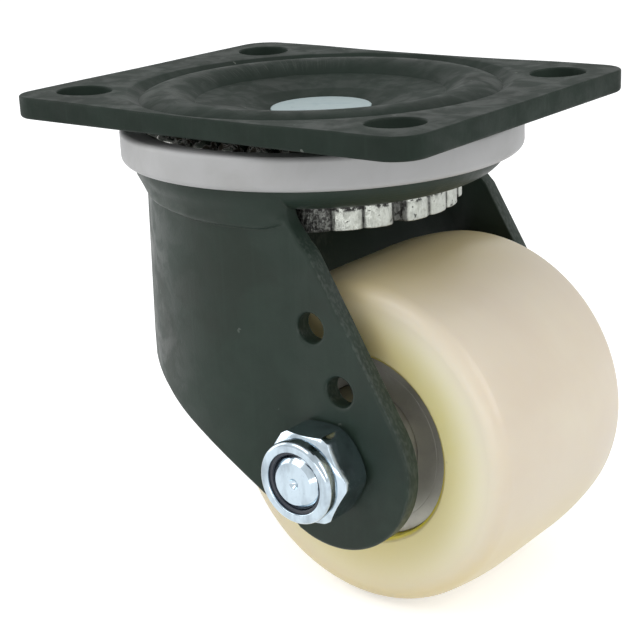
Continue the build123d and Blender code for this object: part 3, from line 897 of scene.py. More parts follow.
def lathe(profile: Sequence[Point], steps: int = 192, closed: bool = True) -> Draft:
    """Turn a half section about Z.

    Args:
        profile: (radius, height) points.
        steps: Sides of the turned shape.
        closed: Whether the last point joins the first.

    Returns:
        The turned mesh.
    """
    turns = [FULL_TURN * k / steps for k in range(steps)]
    draft = Draft()
    draft.grid([[turned(radius, turn, height) for turn in turns]
                for radius, height in supported(profile, closed)], closed)
    return draft


def offset_loop(loop: Sequence[Point], depth: float) -> list[Point]:
    """Move a loop to its left, which is into the sheet.

    Args:
        loop: The loop, counter-clockwise round an outline and clockwise round a hole.
        depth: How far to move it.

    Returns:
        The moved loop.
    """
    spots = np.array(loop)
    ahead = np.roll(spots, -1, axis=0) - spots
    ahead /= np.linalg.norm(ahead, axis=1)[:, None]
    back = np.roll(ahead, 1, axis=0)
    left = np.stack([-ahead[:, 1] - back[:, 1], ahead[:, 0] + back[:, 0]], axis=1)
    left /= np.linalg.norm(left, axis=1)[:, None]
    spread = np.clip(-left[:, 0] * ahead[:, 1] + left[:, 1] * ahead[:, 0], 0.5, 1.0)
    return [(float(x), float(y)) for x, y in spots + left * (depth / spread)[:, None]]


def even_loop(loop: Sequence[Point], spacing: float) -> list[Point]:
    """Add points to a loop so that no run of it is longer than a spacing."""
    made: list[Point] = []
    for index, spot in enumerate(loop):
        following = loop[(index + 1) % len(loop)]
        length = math.dist(spot, following)
        if length >= SHORTEST_RUN:
            parts = max(1, math.ceil(length / spacing))
            made += [between(spot, following, k / parts) for k in range(parts)]
    return made


def inside_loops(spots: np.ndarray, loops: Sequence[Sequence[Point]]) -> np.ndarray:
    """Tell which points lie inside an odd number of loops."""
    inside = np.zeros(len(spots), bool)
    x, y = spots[:, 0], spots[:, 1]
    for loop in loops:
        edge = np.array(loop)
        for (ax, ay), (bx, by) in zip(edge, np.roll(edge, -1, axis=0)):
            crosses = (ay > y) != (by > y)
            if crosses.any():
                inside ^= crosses & (x < (bx - ax) * (y - ay) / (by - ay + 1e-30) + ax)
    return inside


@dataclass
class Opening:
    """A hole in a sheet, crisp where another draft joins its edge."""

    loop: list[Point]
    crisp: bool = False


@dataclass
class Sheet:
    """A flat or bent sheet with rounded edges and holes, its gaps as shares of the spacing."""

    outline: list[Point]
    openings: list[Opening]
    thickness: float
    front_round: float
    back_round: float
    spacing: float
    close_points: list[Point] = field(default_factory=list)
    round_steps: int = 4
    rim_width: float = 0.15
    rim_gap: float = 0.6
    close_gap: float = 0.5
    close_to_rim: float = 0.25

    def levels(self) -> list[Point]:
        """Steps round the sheet's edge as (depth into the sheet, height from its middle)."""
        half = self.thickness / 2
        turns = [math.radians(90 * k / self.round_steps) for k in range(self.round_steps + 1)]
        front = [(self.front_round * (1 - math.sin(a)), half - self.front_round * (1 - math.cos(a)))
                 for a in turns]
        back = [(self.back_round * (1 - math.sin(a)), self.back_round * (1 - math.cos(a)) - half)
                for a in reversed(turns)]
        return [(self.front_round + self.rim_width, half), *front, *back,
                (self.back_round + self.rim_width, -half)]

    @staticmethod
    def apart(spots: np.ndarray, others: np.ndarray, distance: float) -> np.ndarray:
        """Keep the points that lie farther than a distance from all others."""
        near = np.array([np.min(np.hypot(*(others - spot).T)) for spot in spots])
        return spots[near > distance]

    def face(self, depth: float, height: float) -> Draft:
        """Fill one side of the sheet.

        Args:
            depth: How far in from its edges the fill starts.
            height: The side's height from the sheet's middle.

        Returns:
            The filled side.
        """
        loops = [offset_loop(self.outline, depth)]
        loops += [item.loop if item.crisp else offset_loop(item.loop, depth) for item in self.openings]
        rim = np.array([spot for loop in loops for spot in loop])
        low, high = rim.min(axis=0), rim.max(axis=0)
        grid = np.stack(np.meshgrid(np.arange(low[0], high[0], self.spacing),
                                    np.arange(low[1], high[1], self.spacing)), -1).reshape(-1, 2)
        grid = self.apart(grid[inside_loops(grid, loops)], rim, self.rim_gap * self.spacing)
        if self.close_points:
            close = np.array(self.close_points)
            close = self.apart(close[inside_loops(close, loops)], rim, self.close_to_rim)
            grid = np.concatenate([self.apart(grid, close, self.close_gap * self.spacing), close])
        spots = [Vector(spot) for spot in rim.tolist() + grid.tolist()]
        edges: list[tuple[int, int]] = []
        for loop in loops:
            start = len(edges)
            edges += [(start + k, start + (k + 1) % len(loop)) for k in range(len(loop))]
        found = delaunay_2d_cdt(spots, edges, [], 0, SLIVER)
        flat = np.array([tuple(spot) for spot in found[0]])
        middles = np.array([flat[list(face)].mean(axis=0) for face in found[2]])
        kept = inside_loops(middles, loops)
        return Draft([Vector((x, y, height)) for x, y in flat],
                     [tuple(face) for face, keep in zip(found[2], kept) if keep])

    def draft(self) -> Draft:
        """The whole sheet, lying in XY with its middle at a height of 0."""
        levels = self.levels()
        made = self.face(*levels[0]).add(self.face(*levels[-1]))
        for rim in [self.outline] + [item.loop for item in self.openings if not item.crisp]:
            made.grid([[Vector((x, y, height)) for x, y in offset_loop(rim, depth)]
                       for depth, height in levels])
        return made


def circle(centre: Point, radius: float, steps: int) -> list[Point]:
    """A round loop, clockwise as a hole's has to be."""
    return arc(centre, radius, 0.0, -360.0, steps)[:-1]


def on_axle(axle: Point, side: Side, out: float = 0.0) -> Place:
    """Lay what is made about Z on the axle.

    Args:
        axle: The axle's x and z.
        side: The side that +Z turns to.
        out: How far out from the castor's middle a height of 0 comes to lie.

    Returns:
        What moves a point there.
    """
    sign = side.value
    return lambda p: Vector((p.x + axle[0], sign * (p.z + out), axle[1] - sign * p.y))


# Sub-assemblies


@dataclass
class MountingPlate:
    """The pressed plate with its dish, and the kingpin in it."""

    length: float = 108.2
    width: float = 89.0
    thickness: float = 4.9
    corner: float = 7.0
    hole_radius: float = 6.2
    hole_x: float = 42.5
    hole_y: float = 31.5
    top_round: float = 0.42
    bottom_round: float = 0.75
    edge_spacing: float = 3.0
    fill_spacing: float = 2.4
    dish_rim: float = 43.75
    sag_start: float = 58.0
    sag: float = 0.35
    shoulder: tuple[Corner, ...] = ((43.75, -0.35, 0), (43.1, -0.45, 1.2), (40.6, -1.92, 0))
    ridge_centre: Point = (35.0, -10.2)
    ridge_radius: float = 10.0
    ridge_turn: Point = (55.9, 134.4)
    well: tuple[Corner, ...] = (
        (28.0, -3.06, 0), (22.0, -3.9, 8.0), (18.0, -4.7, 6.0), (15.0, -5.7, 5.0), (12.5, -6.6, 3.0),
        (11.42, -6.9, 0), (11.42, -8.5, 0), (8.02, -8.5, 0), (8.02, -11.8, 0), (11.42, -11.8, 0.5),
        (33.9, -9.9, 0.5), (33.9, -9.125, 0))
    race: Point = (37.125, -9.125)
    race_radius: float = 3.225
    underside: tuple[Corner, ...] = ((39.0, -5.75, 1.0), (43.5, -4.9, 1.0), (43.75, -4.9, 0))
    pin: tuple[Corner, ...] = (
        (0, -5.5, 0), (11.4, -5.5, 0.35), (11.4, -8.5, 0.1), (8.0, -8.5, 0), (8.0, -11.8, 0),
        (10.0, -11.8, 0), (10.0, -20.85, 0), (8.0, -20.85, 0), (8.0, -26.3, 0), (12.0, -26.3, 0.2),
        (12.0, -28.6, 0.8), (10.8, -29.8, 1.2), (0, -29.8, 0))

    def sagged(self, point: Vector) -> Vector:
        """Lower the sheet's top towards the dish, where the press drew it in."""
        share = share_of(math.hypot(point.x, point.y), (self.sag_start, self.dish_rim))
        drop = self.sag * share ** 2 * (3 - 2 * share) * (point.z + self.thickness) / self.thickness
        return Vector((point.x, point.y, point.z - drop))

    def dish_section(self) -> list[Point]:
        """The dish's section from the plate's top round to its underside."""
        top = rounded(self.shoulder, steps=6, closed=False)
        top += arc(self.ridge_centre, self.ridge_radius, *self.ridge_turn, steps=30)[1:]
        top += rounded(self.well, steps=5, closed=False)[1:]
        race = arc(self.race, self.race_radius, 180, 90, steps=12)[1:]
        return top + race + rounded([(*race[-1], 0), *self.underside], steps=4, closed=False)[1:]

    def plate_draft(self) -> Draft:
        """The flat plate with its holes, joined to the dish."""
        x, y = self.length / 2, self.width / 2
        outline = rounded([(x, y, self.corner), (-x, y, self.corner), (-x, -y, self.corner),
                           (x, -y, self.corner)], steps=14)
        openings = [Opening(circle((sx * self.hole_x, sy * self.hole_y), self.hole_radius, steps=48))
                    for sx in (-1, 1) for sy in (-1, 1)]
        openings.append(Opening(circle((0, 0), self.dish_rim, steps=256), crisp=True))
        flat = Sheet(even_loop(outline, self.edge_spacing), openings, self.thickness, self.top_round,
                     self.bottom_round, self.fill_spacing).draft()
        flat.put(lambda p: self.sagged(Vector((p.x, p.y, p.z - self.thickness / 2))))
        return flat.add(lathe(self.dish_section(), steps=256, closed=False))

    def build(self, finishes: Finishes) -> None:
        """Make the plate and the kingpin."""
        self.plate_draft().piece("mounting_plate", Body.MOUNTING, finishes.plate_paint, "dark_paint",
                                 ["top_plate"], sharp=33)
        lathe(rounded(self.pin, steps=5, closed=False), steps=128, closed=False).piece(
            "swivel_pin", Body.MOUNTING, finishes.head_zinc, "zinc", ["kingpin"], sharp=50)


@dataclass
class RaceRing:
    """The notched lower race ring with its sheared edge."""

    crest: float = 31.2
    bulge: float = 0.85
    bulge_power: float = 3.4
    groups: int = 8
    lobes: int = 3
    lobe_steps: int = 16
    notch_angle: float = 6.0
    notch_depth: float = 2.0
    notch_power: float = 0.6
    notch_steps: int = 10
    turn: float = -21.0
    top: float = -20.85
    height: float = 5.75
    bore: float = 8.02
    top_round: float = 0.55
    bottom_round: float = 0.25
    fill_spacing: float = 5.0

    def outline(self) -> list[Point]:
        """The ring's lobes and notches, counter-clockwise."""
        group_angle = 360.0 / self.groups
        lobe_angle = (group_angle - self.notch_angle) / self.lobes
        valley = self.crest - self.bulge
        made: list[Point] = []
        for group in range(self.groups):
            start = self.turn + group * group_angle - self.notch_angle / 2
            for k in range(self.notch_steps):
                share = k / self.notch_steps
                dip = self.notch_depth * math.sin(math.pi * share) ** self.notch_power
                made.append(around((0, 0), valley - dip, start + self.notch_angle * share))
            for k in range(self.lobes * self.lobe_steps):
                share = k % self.lobe_steps / self.lobe_steps
                rise = self.bulge * (1 - abs(2 * share - 1) ** self.bulge_power)
                made.append(around((0, 0), valley + rise,
                                   start + self.notch_angle + k / self.lobe_steps * lobe_angle))
        return made

    def build(self, finishes: Finishes) -> None:
        """Make the ring."""
        bore = Opening(circle((0, 0), self.bore, steps=96))
        sheet = Sheet(self.outline(), [bore], self.height, self.top_round, self.bottom_round,
                      self.fill_spacing)
        middle = Vector((0, 0, self.top - self.height / 2))
        sheet.draft().put(lambda p: p + middle).piece(
            "notched_race_ring", Body.MOUNTING, finishes.sheared_zinc, "cast_zinc",
            ["lower_race_ring"], sharp=40)


@dataclass
class Fork:
    """The one-piece pressing: crown, bulged front wall and two flat legs."""

    wall_radius: float = 40.3
    sheet: float = 4.2
    leg_outer: float = 36.4
    joint_ease: float = 3.2
    path_end: float = 50.0
    outer_round: float = 0.75
    inner_round: float = 0.3
    edge_spacing: float = 1.6
    fill_spacing: float = 1.7
    axle: Point = AXLE
    leg_end: float = 19.7
    lower_end_angle: float = 241.5
    lower_bow: float = 1.5
    lower_steps: int = 16
    front_steps: int = 24
    knee: Point = (-8.0, -71.0)
    front_depth: float = -55.9
    bent_until: float = 14.0
    rear_top: Point = (18.8, -20.5)
    neck_drop: float = 7.5
    neck: tuple[Point, ...] = ((21.2, -26.0), (19.6, -23.9), (18.3, -22.0), (17.7, -20.4), (17.4, -18.8))
    top: float = -12.2
    flare_top: float = -15.0
    flare_reach: float = 17.4
    foot_bearing: tuple[float, ...] = (58, 60, 64, 67, 71, 77, 89, 95, 102, 115, 125, 135, 180)
    foot_z: tuple[float, ...] = (-20.5, -21.2, -22.5, -23.05, -23.65, -23.55, -23.35, -23.15, -22.7,
                                 -22.1, -21.8, -21.9, -21.6)
    lift_share: tuple[float, ...] = (0.0, 0.02, 0.05, 0.09, 0.13, 0.25, 0.4, 0.5, 0.65, 0.75, 0.85)
    lift: tuple[float, ...] = (0.0, 0.17, 0.31, 0.4, 0.46, 0.51, 0.56, 0.66, 0.87, 0.97, 1.0)
    straight_lift: float = 0.68
    straight_bearing: Point = (112.0, 130.0)
    lean_z: Point = (-55.0, -22.0)
    lean: Point = (0.5, -0.3)
    lean_bearing: Point = (118.0, 135.0)
    tuck: float = 1.9
    tuck_x: Point = (11.5, 17.4)
    tuck_z: Point = (-22.6, -19.6)
    crease_steps: tuple[float, ...] = (-0.6, -0.14, 0.0, 0.14, 0.35, 0.65, 1.0, 1.5, 2.2, 3.0, 3.7, 4.4,
                                       5.1, 5.8, 6.5, 7.3, 8.2)
    crease_columns: int = 260
    crease_clear: float = 0.9
    holes: tuple[Corner, ...] = ((26.85, -73.04, 6.1), (22.96, -43.84, 3.28), (29.91, -56.61, 3.28))
    crown_radius: float = 42.6
    crown_gap: float = 0.02
    crown_corner: float = 8.5
    crown_bore: float = 12.5
    crown_floor: Point = (-20.5, -16.3)
    crown_lip: tuple[Corner, ...] = ((42.6, -12.0, 0), (42.6, -8.525, 0.3), (40.35, -8.525, 0.2),
                                     (40.35, -9.125, 0))
    crown_race: Point = (37.125, -9.125)
    crown_race_radius: float = 3.225
    crown_race_wrap: float = -110.0
    path_x: np.ndarray = field(init=False)
    path_y: np.ndarray = field(init=False)
    path_s: np.ndarray = field(init=False)

    def __post_init__(self) -> None:
        """Lay out the middle line of the bent sheet from the front centre to a leg's end."""
        middle = self.wall_radius - self.sheet / 2
        leg = self.leg_outer - self.sheet / 2
        stop = math.pi - math.asin(leg / middle) - self.joint_ease / middle
        turns = np.linspace(0.0, stop, 400)
        x, y = -middle * np.cos(turns), middle * np.sin(turns)
        heading = Vector((math.sin(stop), math.cos(stop)))
        start = Vector((x[-1], y[-1]))
        control = start + heading * ((leg - start.y) / heading.y)
        end = Vector((math.sqrt(middle ** 2 - leg ** 2) + self.joint_ease, leg))
        share = np.linspace(0.0, 1.0, 60)[1:]
        bend_x, bend_y = ((1 - share) ** 2 * first + 2 * share * (1 - share) * second + share ** 2 * third
                          for first, second, third in zip(start, control, end))
        run_x = np.linspace(end.x, self.path_end, 120)[1:]
        self.path_x = np.concatenate([x, bend_x, run_x])
        self.path_y = np.concatenate([y, bend_y, np.full(len(run_x), leg)])
        steps = np.hypot(np.diff(self.path_x), np.diff(self.path_y))
        self.path_s = np.concatenate([[0.0], np.cumsum(steps)])

    def run_at(self, x: float) -> float:
        """How far along the sheet's middle line a given x lies."""
        return float(np.interp(x, self.path_x, self.path_s))

    def path_at(self, run: float) -> Point:
        """The middle line's x and y at a distance along it."""
        x, y = (float(np.interp(run, self.path_s, line)) for line in (self.path_x, self.path_y))
        return x, y

    def wall_point(self, s: float, z: float, t: float) -> Vector:
        """Bend a point of the flat sheet into place.

        Args:
            s: Distance along the sheet from its front centre, negative on the nut's side.
            z: Height.
            t: Distance out from the sheet's middle.

        Returns:
            The point on the fork.
        """
        run = abs(s)
        step = 0.15
        x, y = self.path_at(run)
        ahead = self.path_at(min(run + step, self.path_s[-1]))
        behind = self.path_at(max(run - step, 0.0))
        dx, dy = ahead[0] - behind[0], ahead[1] - behind[1]
        if run < step:
            dy = max(dy, SHORTEST_RUN)
            dx = dx if run > 0 else 0.0
        length = math.hypot(dx, dy)
        out_x, out_y = -dy / length, dx / length
        bearing = math.degrees(math.atan2(y, x))
        t += share_of(bearing, self.lean_bearing) * float(np.interp(z, self.lean_z, self.lean))
        radius = math.hypot(x + out_x * self.sheet / 2, y + out_y * self.sheet / 2)
        t += max(0.0, self.flare_radius(bearing, z) - radius)
        t -= self.tuck * share_of(x, self.tuck_x) ** 2 * share_of(z, self.tuck_z)
        sign = -1.0 if s < 0 else 1.0
        return Vector((x + out_x * t, sign * (y + out_y * t), z))

    def flare_foot(self, bearing: float) -> float:
        """Height at which the flare starts, by the direction from the swivel axis in degrees."""
        return float(np.interp(bearing, self.foot_bearing, self.foot_z))

    def flare_radius(self, bearing: float, z: float) -> float:
        """Radius of the flare that carries the wall out to the crown.

        Args:
            bearing: Direction from the swivel axis, in degrees.
            z: Height.

        Returns:
            The outer radius, or 0 below the flare.
        """
        foot = self.flare_foot(bearing)
        share = (z - foot) / (self.flare_top - foot)
        if share <= 0:
            return 0.0
        lift = float(np.interp(share, self.lift_share, self.lift))
        lift += share_of(bearing, self.straight_bearing) * (min(1.0, share / self.straight_lift) - lift)
        return self.wall_radius + (self.crown_radius - self.crown_gap - self.wall_radius) * lift

    def tangent(self) -> tuple[Point, float]:
        """Where the leg's rear edge touches its round end, and the angle of that place."""
        dx, dz = self.rear_top[0] - self.axle[0], self.rear_top[1] - self.axle[1]
        turn = math.degrees(math.atan2(dz, dx) - math.acos(self.leg_end / math.hypot(dx, dz)))
        return around(self.axle, self.leg_end, turn), turn

    def half_outline(self) -> list[Point]:
        """One leg's side outline in (x, z), from under the front centre round to the top."""
        centre = (-self.wall_radius, self.front_depth)
        front = [between(centre, self.knee, (k / self.front_steps) ** 2) for k in range(1, self.front_steps)]
        end = around(self.axle, self.leg_end, self.lower_end_angle)
        length = math.dist(self.knee, end)
        lower: list[Point] = []
        for k in range(1, self.lower_steps):
            share = k / self.lower_steps
            lift = self.lower_bow * 4 * share * (1 - share) / length
            x, z = between(self.knee, end, share)
            lower.append((x - (end[1] - self.knee[1]) * lift, z + (end[0] - self.knee[0]) * lift))
        touch, touch_angle = self.tangent()
        sweep = arc(self.axle, self.leg_end, self.lower_end_angle - 360.0, touch_angle, steps=72)
        slope = (self.rear_top[0] - touch[0]) / (self.rear_top[1] - touch[1])
        neck_start = (self.rear_top[0] - slope * self.neck_drop, self.rear_top[1] - self.neck_drop)
        return front + [self.knee] + lower + sweep + [neck_start, *self.neck, (self.flare_reach, self.top)]

    def flat_outline(self) -> list[Point]:
        """The whole wall's outline, laid flat as (distance along the sheet, height)."""
        half: list[Point] = []
        for x, z in self.half_outline():
            if x < self.bent_until:
                x = max(-self.wall_radius + self.sheet / 2, x * (1 - self.sheet / 2 / self.wall_radius))
            half.append((self.run_at(x), z))
        left = [(-s, z) for s, z in reversed(half)]
        return even_loop([(0.0, self.front_depth)] + half + left, self.edge_spacing)

    def flare_points(self) -> list[Point]:
        """Close points of the flat sheet along the flare, so that its crease stays crisp."""
        reach = self.run_at(self.flare_reach)
        highest = self.top - self.crease_clear
        made: list[Point] = []
        for run in np.linspace(-reach, reach, self.crease_columns):
            x, y = self.path_at(abs(run))
            foot = self.flare_foot(math.degrees(math.atan2(y, x)))
            made += [(float(run), foot + step) for step in self.crease_steps if foot + step < highest]
        return made

    def wall_draft(self) -> Draft:
        """The bent sheet with its holes."""
        openings = [Opening(circle((sign * self.run_at(x), z), radius, steps=48))
                    for sign in (-1, 1) for x, z, radius in self.holes]
        sheet = Sheet(self.flat_outline(), openings, self.sheet, self.outer_round, self.inner_round,
                      self.fill_spacing, self.flare_points())
        return sheet.draft().put(lambda p: self.wall_point(p.x, p.y, p.z))

    def crown_draft(self) -> Draft:
        """The round bowl with the ball race inside its lip."""
        flat = self.crown_radius - self.crown_corner
        outside, inside = self.crown_floor
        profile = [(self.crown_bore, outside)]
        profile += arc((flat, outside + self.crown_corner), self.crown_corner, -90, 0, steps=16)
        profile += rounded(self.crown_lip, steps=3, closed=False)[1:]
        profile += arc(self.crown_race, self.crown_race_radius, 0, self.crown_race_wrap, steps=14)[1:]
        return lathe(profile + [(flat, inside), (self.crown_bore, inside)], steps=256)

    def build(self, finishes: Finishes) -> None:
        """Make the fork."""
        self.wall_draft().add(self.crown_draft()).piece(
            "wrap_round_fork", Body.FORK, finishes.paint, "dark_paint", ["fork"], sharp=50)


@dataclass
class Wheel:
    """The solid nylon wheel with a bearing seat from each side."""

    axle: Point = AXLE
    radius: float = 37.5
    half_width: float = 26.0
    tread_flat: float = 9.5
    crown_drop: float = 1.8
    edge_round: float = 4.0
    seat: float = 21.02
    chamfer: float = 1.0
    web: float = 18.5
    bearing_back: float = 11.0

    def half_section(self) -> list[Corner]:
        """Corners of the wheel's section on one side, from the tread's middle in to the web."""
        run = self.half_width - self.tread_flat
        bend = (run ** 2 + self.crown_drop ** 2) / (2 * self.crown_drop)
        centre = (self.radius - bend, self.tread_flat)
        round_width = self.half_width - self.edge_round
        rise = math.sqrt((bend - self.edge_round) ** 2 - (round_width - self.tread_flat) ** 2)
        turn = math.degrees(math.atan2(round_width - self.tread_flat, rise))
        crown = arc(centre, bend, 0.0, turn, steps=16)
        shoulder = arc((centre[0] + rise, round_width), self.edge_round, turn, 90.0, steps=14)[1:]
        made = [(radius, along, 0.0) for radius, along in crown + shoulder]
        return made + [(self.seat + self.chamfer, self.half_width, 0.4),
                       (self.seat, self.half_width - self.chamfer, 0.3),
                       (self.seat, self.bearing_back, 0.0), (self.web, self.bearing_back, 0.3)]

    def build(self, finishes: Finishes) -> None:
        """Make the wheel."""
        half = self.half_section()
        full = half + [(radius, -height, soften) for radius, height, soften in reversed(half)]
        lathe(rounded(full, steps=8), steps=288).put(on_axle(self.axle, Side.RIGHT)).piece(
            "nylon_wheel", Body.WHEEL, finishes.nylon, "wheel_nylon", ["wheel"], sharp=40)


@dataclass
class Bearing:
    """One deep-groove ball bearing's rings and outer shield."""

    side: Side
    axle: Point = AXLE
    face: float = 23.0
    back: float = 11.0
    outside: float = 21.0
    outer_land: float = 18.0
    inner_land: float = 13.0
    bore: float = 10.0
    groove_circle: float = 15.5
    groove_radius: float = 3.205
    shield_inner: float = 13.12
    shield_gap: float = 0.03
    shield_depth: float = 0.6
    shield_inset: float = 0.02

    def ring(self, wall: float, land: float) -> list[Point]:
        """A ring's section with its ball groove.

        Args:
            wall: Radius of its plain side.
            land: Radius of its grooved side.

        Returns:
            The section.
        """
        middle = (self.face + self.back) / 2
        half = math.degrees(math.acos(abs(land - self.groove_circle) / self.groove_radius))
        start, end = (-half, half) if wall > land else (180.0 + half, 180.0 - half)
        groove = arc((self.groove_circle, middle), self.groove_radius, start, end, steps=10)
        ends = rounded([(*groove[-1], 0), (land, self.face, 0.05), (wall, self.face, 0.25),
                        (wall, self.back, 0.6), (land, self.back, 0.3), (*groove[0], 0)],
                       steps=4, closed=False)
        return ends[:-1] + groove[:-1]

    def shield(self) -> list[Point]:
        """The outer shield's section."""
        top = self.face - self.shield_inset
        outer = self.outer_land - self.shield_gap
        return rounded([(self.shield_inner, top - self.shield_depth, 0), (self.shield_inner, top, 0.05),
                        (outer, top, 0.04), (outer, top - self.shield_depth, 0)], steps=3)

    def build(self, finishes: Finishes) -> None:
        """Make the rings and the pressed outer shield."""
        name = self.side.name.lower()
        for part, node, body, section in (
                ("outer_ring", "outer_ring", Body.WHEEL, self.ring(self.outside, self.outer_land)),
                ("inner_ring", "inner_ring", Body.FORK, self.ring(self.bore, self.inner_land)),
                ("shield", "outer_shield", Body.WHEEL, self.shield())):
            lathe(section).put(on_axle(self.axle, self.side)).piece(
                f"{name}_{part}", body, finishes.steel, "bearing_steel", [f"{name}_bearing_{node}"], sharp=40)


@dataclass
class AxleFastening:
    """The bolt through the legs, and the locking nut with its insert."""

    axle: Point = AXLE
    leg_outer: float = 36.4
    flats: float = 19.0
    corner_radius: float = 10.45
    brow_rim: float = 8.95
    brow_slope: float = 1.5
    foot_rim: float = 8.7
    foot_slope: float = 1.25
    foot_inset: float = 0.2
    head_height: float = 7.5
    head_hollow: tuple[Point, ...] = ((3.0, 0.05), (0.0, 0.1))
    nut_height: float = 9.3
    nut_waist: float = 8.6
    collar_height: float = 3.2
    collar_radius: float = 9.0
    collar_step: float = 0.15
    collar_foot: float = 0.35
    lip_radius: float = 6.75
    lip_height: float = 0.6
    seat_radius: float = 7.9
    insert_gap: float = 0.02
    insert_sink: float = 0.12
    bolt_radius: float = 5.95
    bore: float = 6.0
    pitch: float = 1.75
    thread_depth: float = 0.85
    thread_length: float = 9.0
    crest_slope: float = 1.35
    crest_start: float = 0.12
    thread_rows: int = 72
    thread_sides: int = 144
    run_out: float = 1.5
    end_drop: float = 1.35
    end_slope: float = 1.15
    end_face: tuple[Point, ...] = ((4.6, 0.0), (4.0, 0.0), (3.0, -0.02), (1.4, -0.05), (1.15, -0.12),
                                   (0.85, -0.6), (0.4, -0.95), (0.0, -1.05))
    steps: int = 240

    def hexagon(self, height: float, corner_turn: float, low: bool, inner: float) -> Draft:
        """A hexagon with slightly rounded corners and turned chamfers.

        Args:
            height: Its height.
            corner_turn: The direction of one corner, in degrees.
            low: Chamfer the lower end too.
            inner: Radius at which its end faces stop.

        Returns:
            The hexagon about Z, from a height of 0.
        """
        rows: list[list[Vector]] = [[] for _ in range(8)]
        for k in range(self.steps):
            degrees = 360.0 * k / self.steps
            from_flat = (degrees - corner_turn) % 60.0 - 30.0
            radius = min(self.flats / 2 / math.cos(math.radians(from_flat)), self.corner_radius)
            foot = (radius - self.foot_rim) / self.foot_slope if low else 0.0
            brow = height - (radius - self.brow_rim) / self.brow_slope
            ends = ((inner, 0.0), (self.foot_rim if low else radius - self.foot_inset, 0.0),
                    (radius, foot), (radius, foot + 0.25 * (brow - foot)),
                    (radius, foot + 0.75 * (brow - foot)), (radius, brow),
                    (self.brow_rim, height), (inner, height))
            for row, (r, z) in zip(rows, ends):
                row.append(turned(r, math.radians(degrees), z))
        draft = Draft()
        draft.grid(rows)
        return draft

    def nut_draft(self) -> Draft:
        """The nut's hexagon, its domed collar and the crimped lip, about Z."""
        low, high = self.nut_height, self.nut_height + self.collar_height
        lip = high - self.lip_height
        collar = rounded([(self.nut_waist, low, 0), (self.nut_waist + self.collar_step, low, 0.3),
                          (self.collar_radius, low + self.collar_foot, 0.2),
                          (self.collar_radius, high, 1.55), (self.lip_radius, high, 0.3),
                          (self.lip_radius, lip, 0.1), (self.seat_radius, lip, 0),
                          (self.seat_radius, low, 0), (self.bore, low, 0), (self.bore, 0, 0),
                          (self.nut_waist, 0, 0)], steps=7, closed=False)
        hexagon = self.hexagon(self.nut_height, 0.0, True, self.nut_waist)
        return hexagon.add(lathe(collar, self.steps, closed=False))

    def thread_radius(self, depth: float, turn: float) -> float:
        """Radius of the threaded end.

        Args:
            depth: Distance from the bolt's end.
            turn: Share of a turn about its axis.

        Returns:
            The radius there.
        """
        phase = (depth / self.pitch + turn) % 1.0
        crest = min(1.0, max(0.0, self.crest_slope * (1 - abs(2 * phase - 1)) - self.crest_start))
        radius = self.bolt_radius - self.thread_depth * (1 - crest)
        radius += (self.bolt_radius - radius) * share_of(
            depth, (self.thread_length - self.run_out, self.thread_length))
        return min(radius, self.bolt_radius - self.end_drop + self.end_slope * depth)

    def thread_draft(self) -> Draft:
        """The bolt's threaded end with its chamfer and centre mark, about Z with its end at 0."""
        shares = [k / self.thread_sides for k in range(self.thread_sides)]
        draft = Draft()
        depths = [self.thread_length * i / self.thread_rows for i in range(self.thread_rows + 1)]
        draft.grid([[turned(self.thread_radius(depth, share), FULL_TURN * share, -depth) for share in shares]
                    for depth in depths])
        draft.grid([[turned(radius, FULL_TURN * share, z) for share in shares]
                    for radius, z in self.end_face])
        return draft

    def build(self, finishes: Finishes) -> None:
        """Make the nut, its insert and the bolt."""
        full = self.nut_height + self.collar_height
        nut_side = on_axle(self.axle, Side.LEFT, self.leg_outer)
        self.nut_draft().put(nut_side).piece(
            "locking_nut", Body.FORK, finishes.nut_zinc, "zinc", ["axle_nut"], sharp=24, soften=0.08)
        outside = self.seat_radius - self.insert_gap
        insert = rounded([(self.bore, self.nut_height, 0), (outside, self.nut_height, 0),
                          (outside, full - self.lip_height - self.insert_gap, 0.3),
                          (self.bore, full - self.lip_height - self.insert_sink, 0.4)], steps=4)
        lathe(insert, steps=128).put(nut_side).piece(
            "locking_insert", Body.FORK, finishes.insert, "insert_nylon", ["nut_insert"])
        end = self.leg_outer + full
        bolt = self.thread_draft().put(on_axle(self.axle, Side.LEFT, end))
        shank = lathe([(self.bolt_radius, -(end - self.thread_length)), (self.bolt_radius, self.leg_outer)],
                      self.thread_sides, closed=False)
        head = self.hexagon(self.head_height, 30.0, False, self.bolt_radius)
        hollow = [(radius, self.head_height - depth) for radius, depth in self.head_hollow]
        head.add(lathe([(self.bolt_radius, self.head_height), *hollow], self.steps, closed=False))
        bolt.add(shank.put(on_axle(self.axle, Side.RIGHT)))
        bolt.add(head.put(on_axle(self.axle, Side.RIGHT, self.leg_outer)))
        bolt.piece("axle_screw", Body.FORK, finishes.nut_zinc, "zinc", ["axle_bolt"], sharp=28)


@dataclass
class DustRing:
    """The plastic ring round the swivel head, with a soft top edge and a drip edge below."""

    section: tuple[Corner, ...] = ((42.62, -14.8, 0.15), (45.3, -14.8, 1.3), (45.3, -7.55, 1.1),
                                   (40.4, -7.55, 0.3), (40.4, -8.5, 0.1), (42.62, -8.5, 0.1))

    def build(self, finishes: Finishes) -> None:
        """Make the ring."""
        lathe(rounded(self.section, steps=6), steps=288).piece(
            "swivel_dust_ring", Body.FORK, finishes.dust_ring, "ring_plastic", ["dust_ring"], sharp=40)


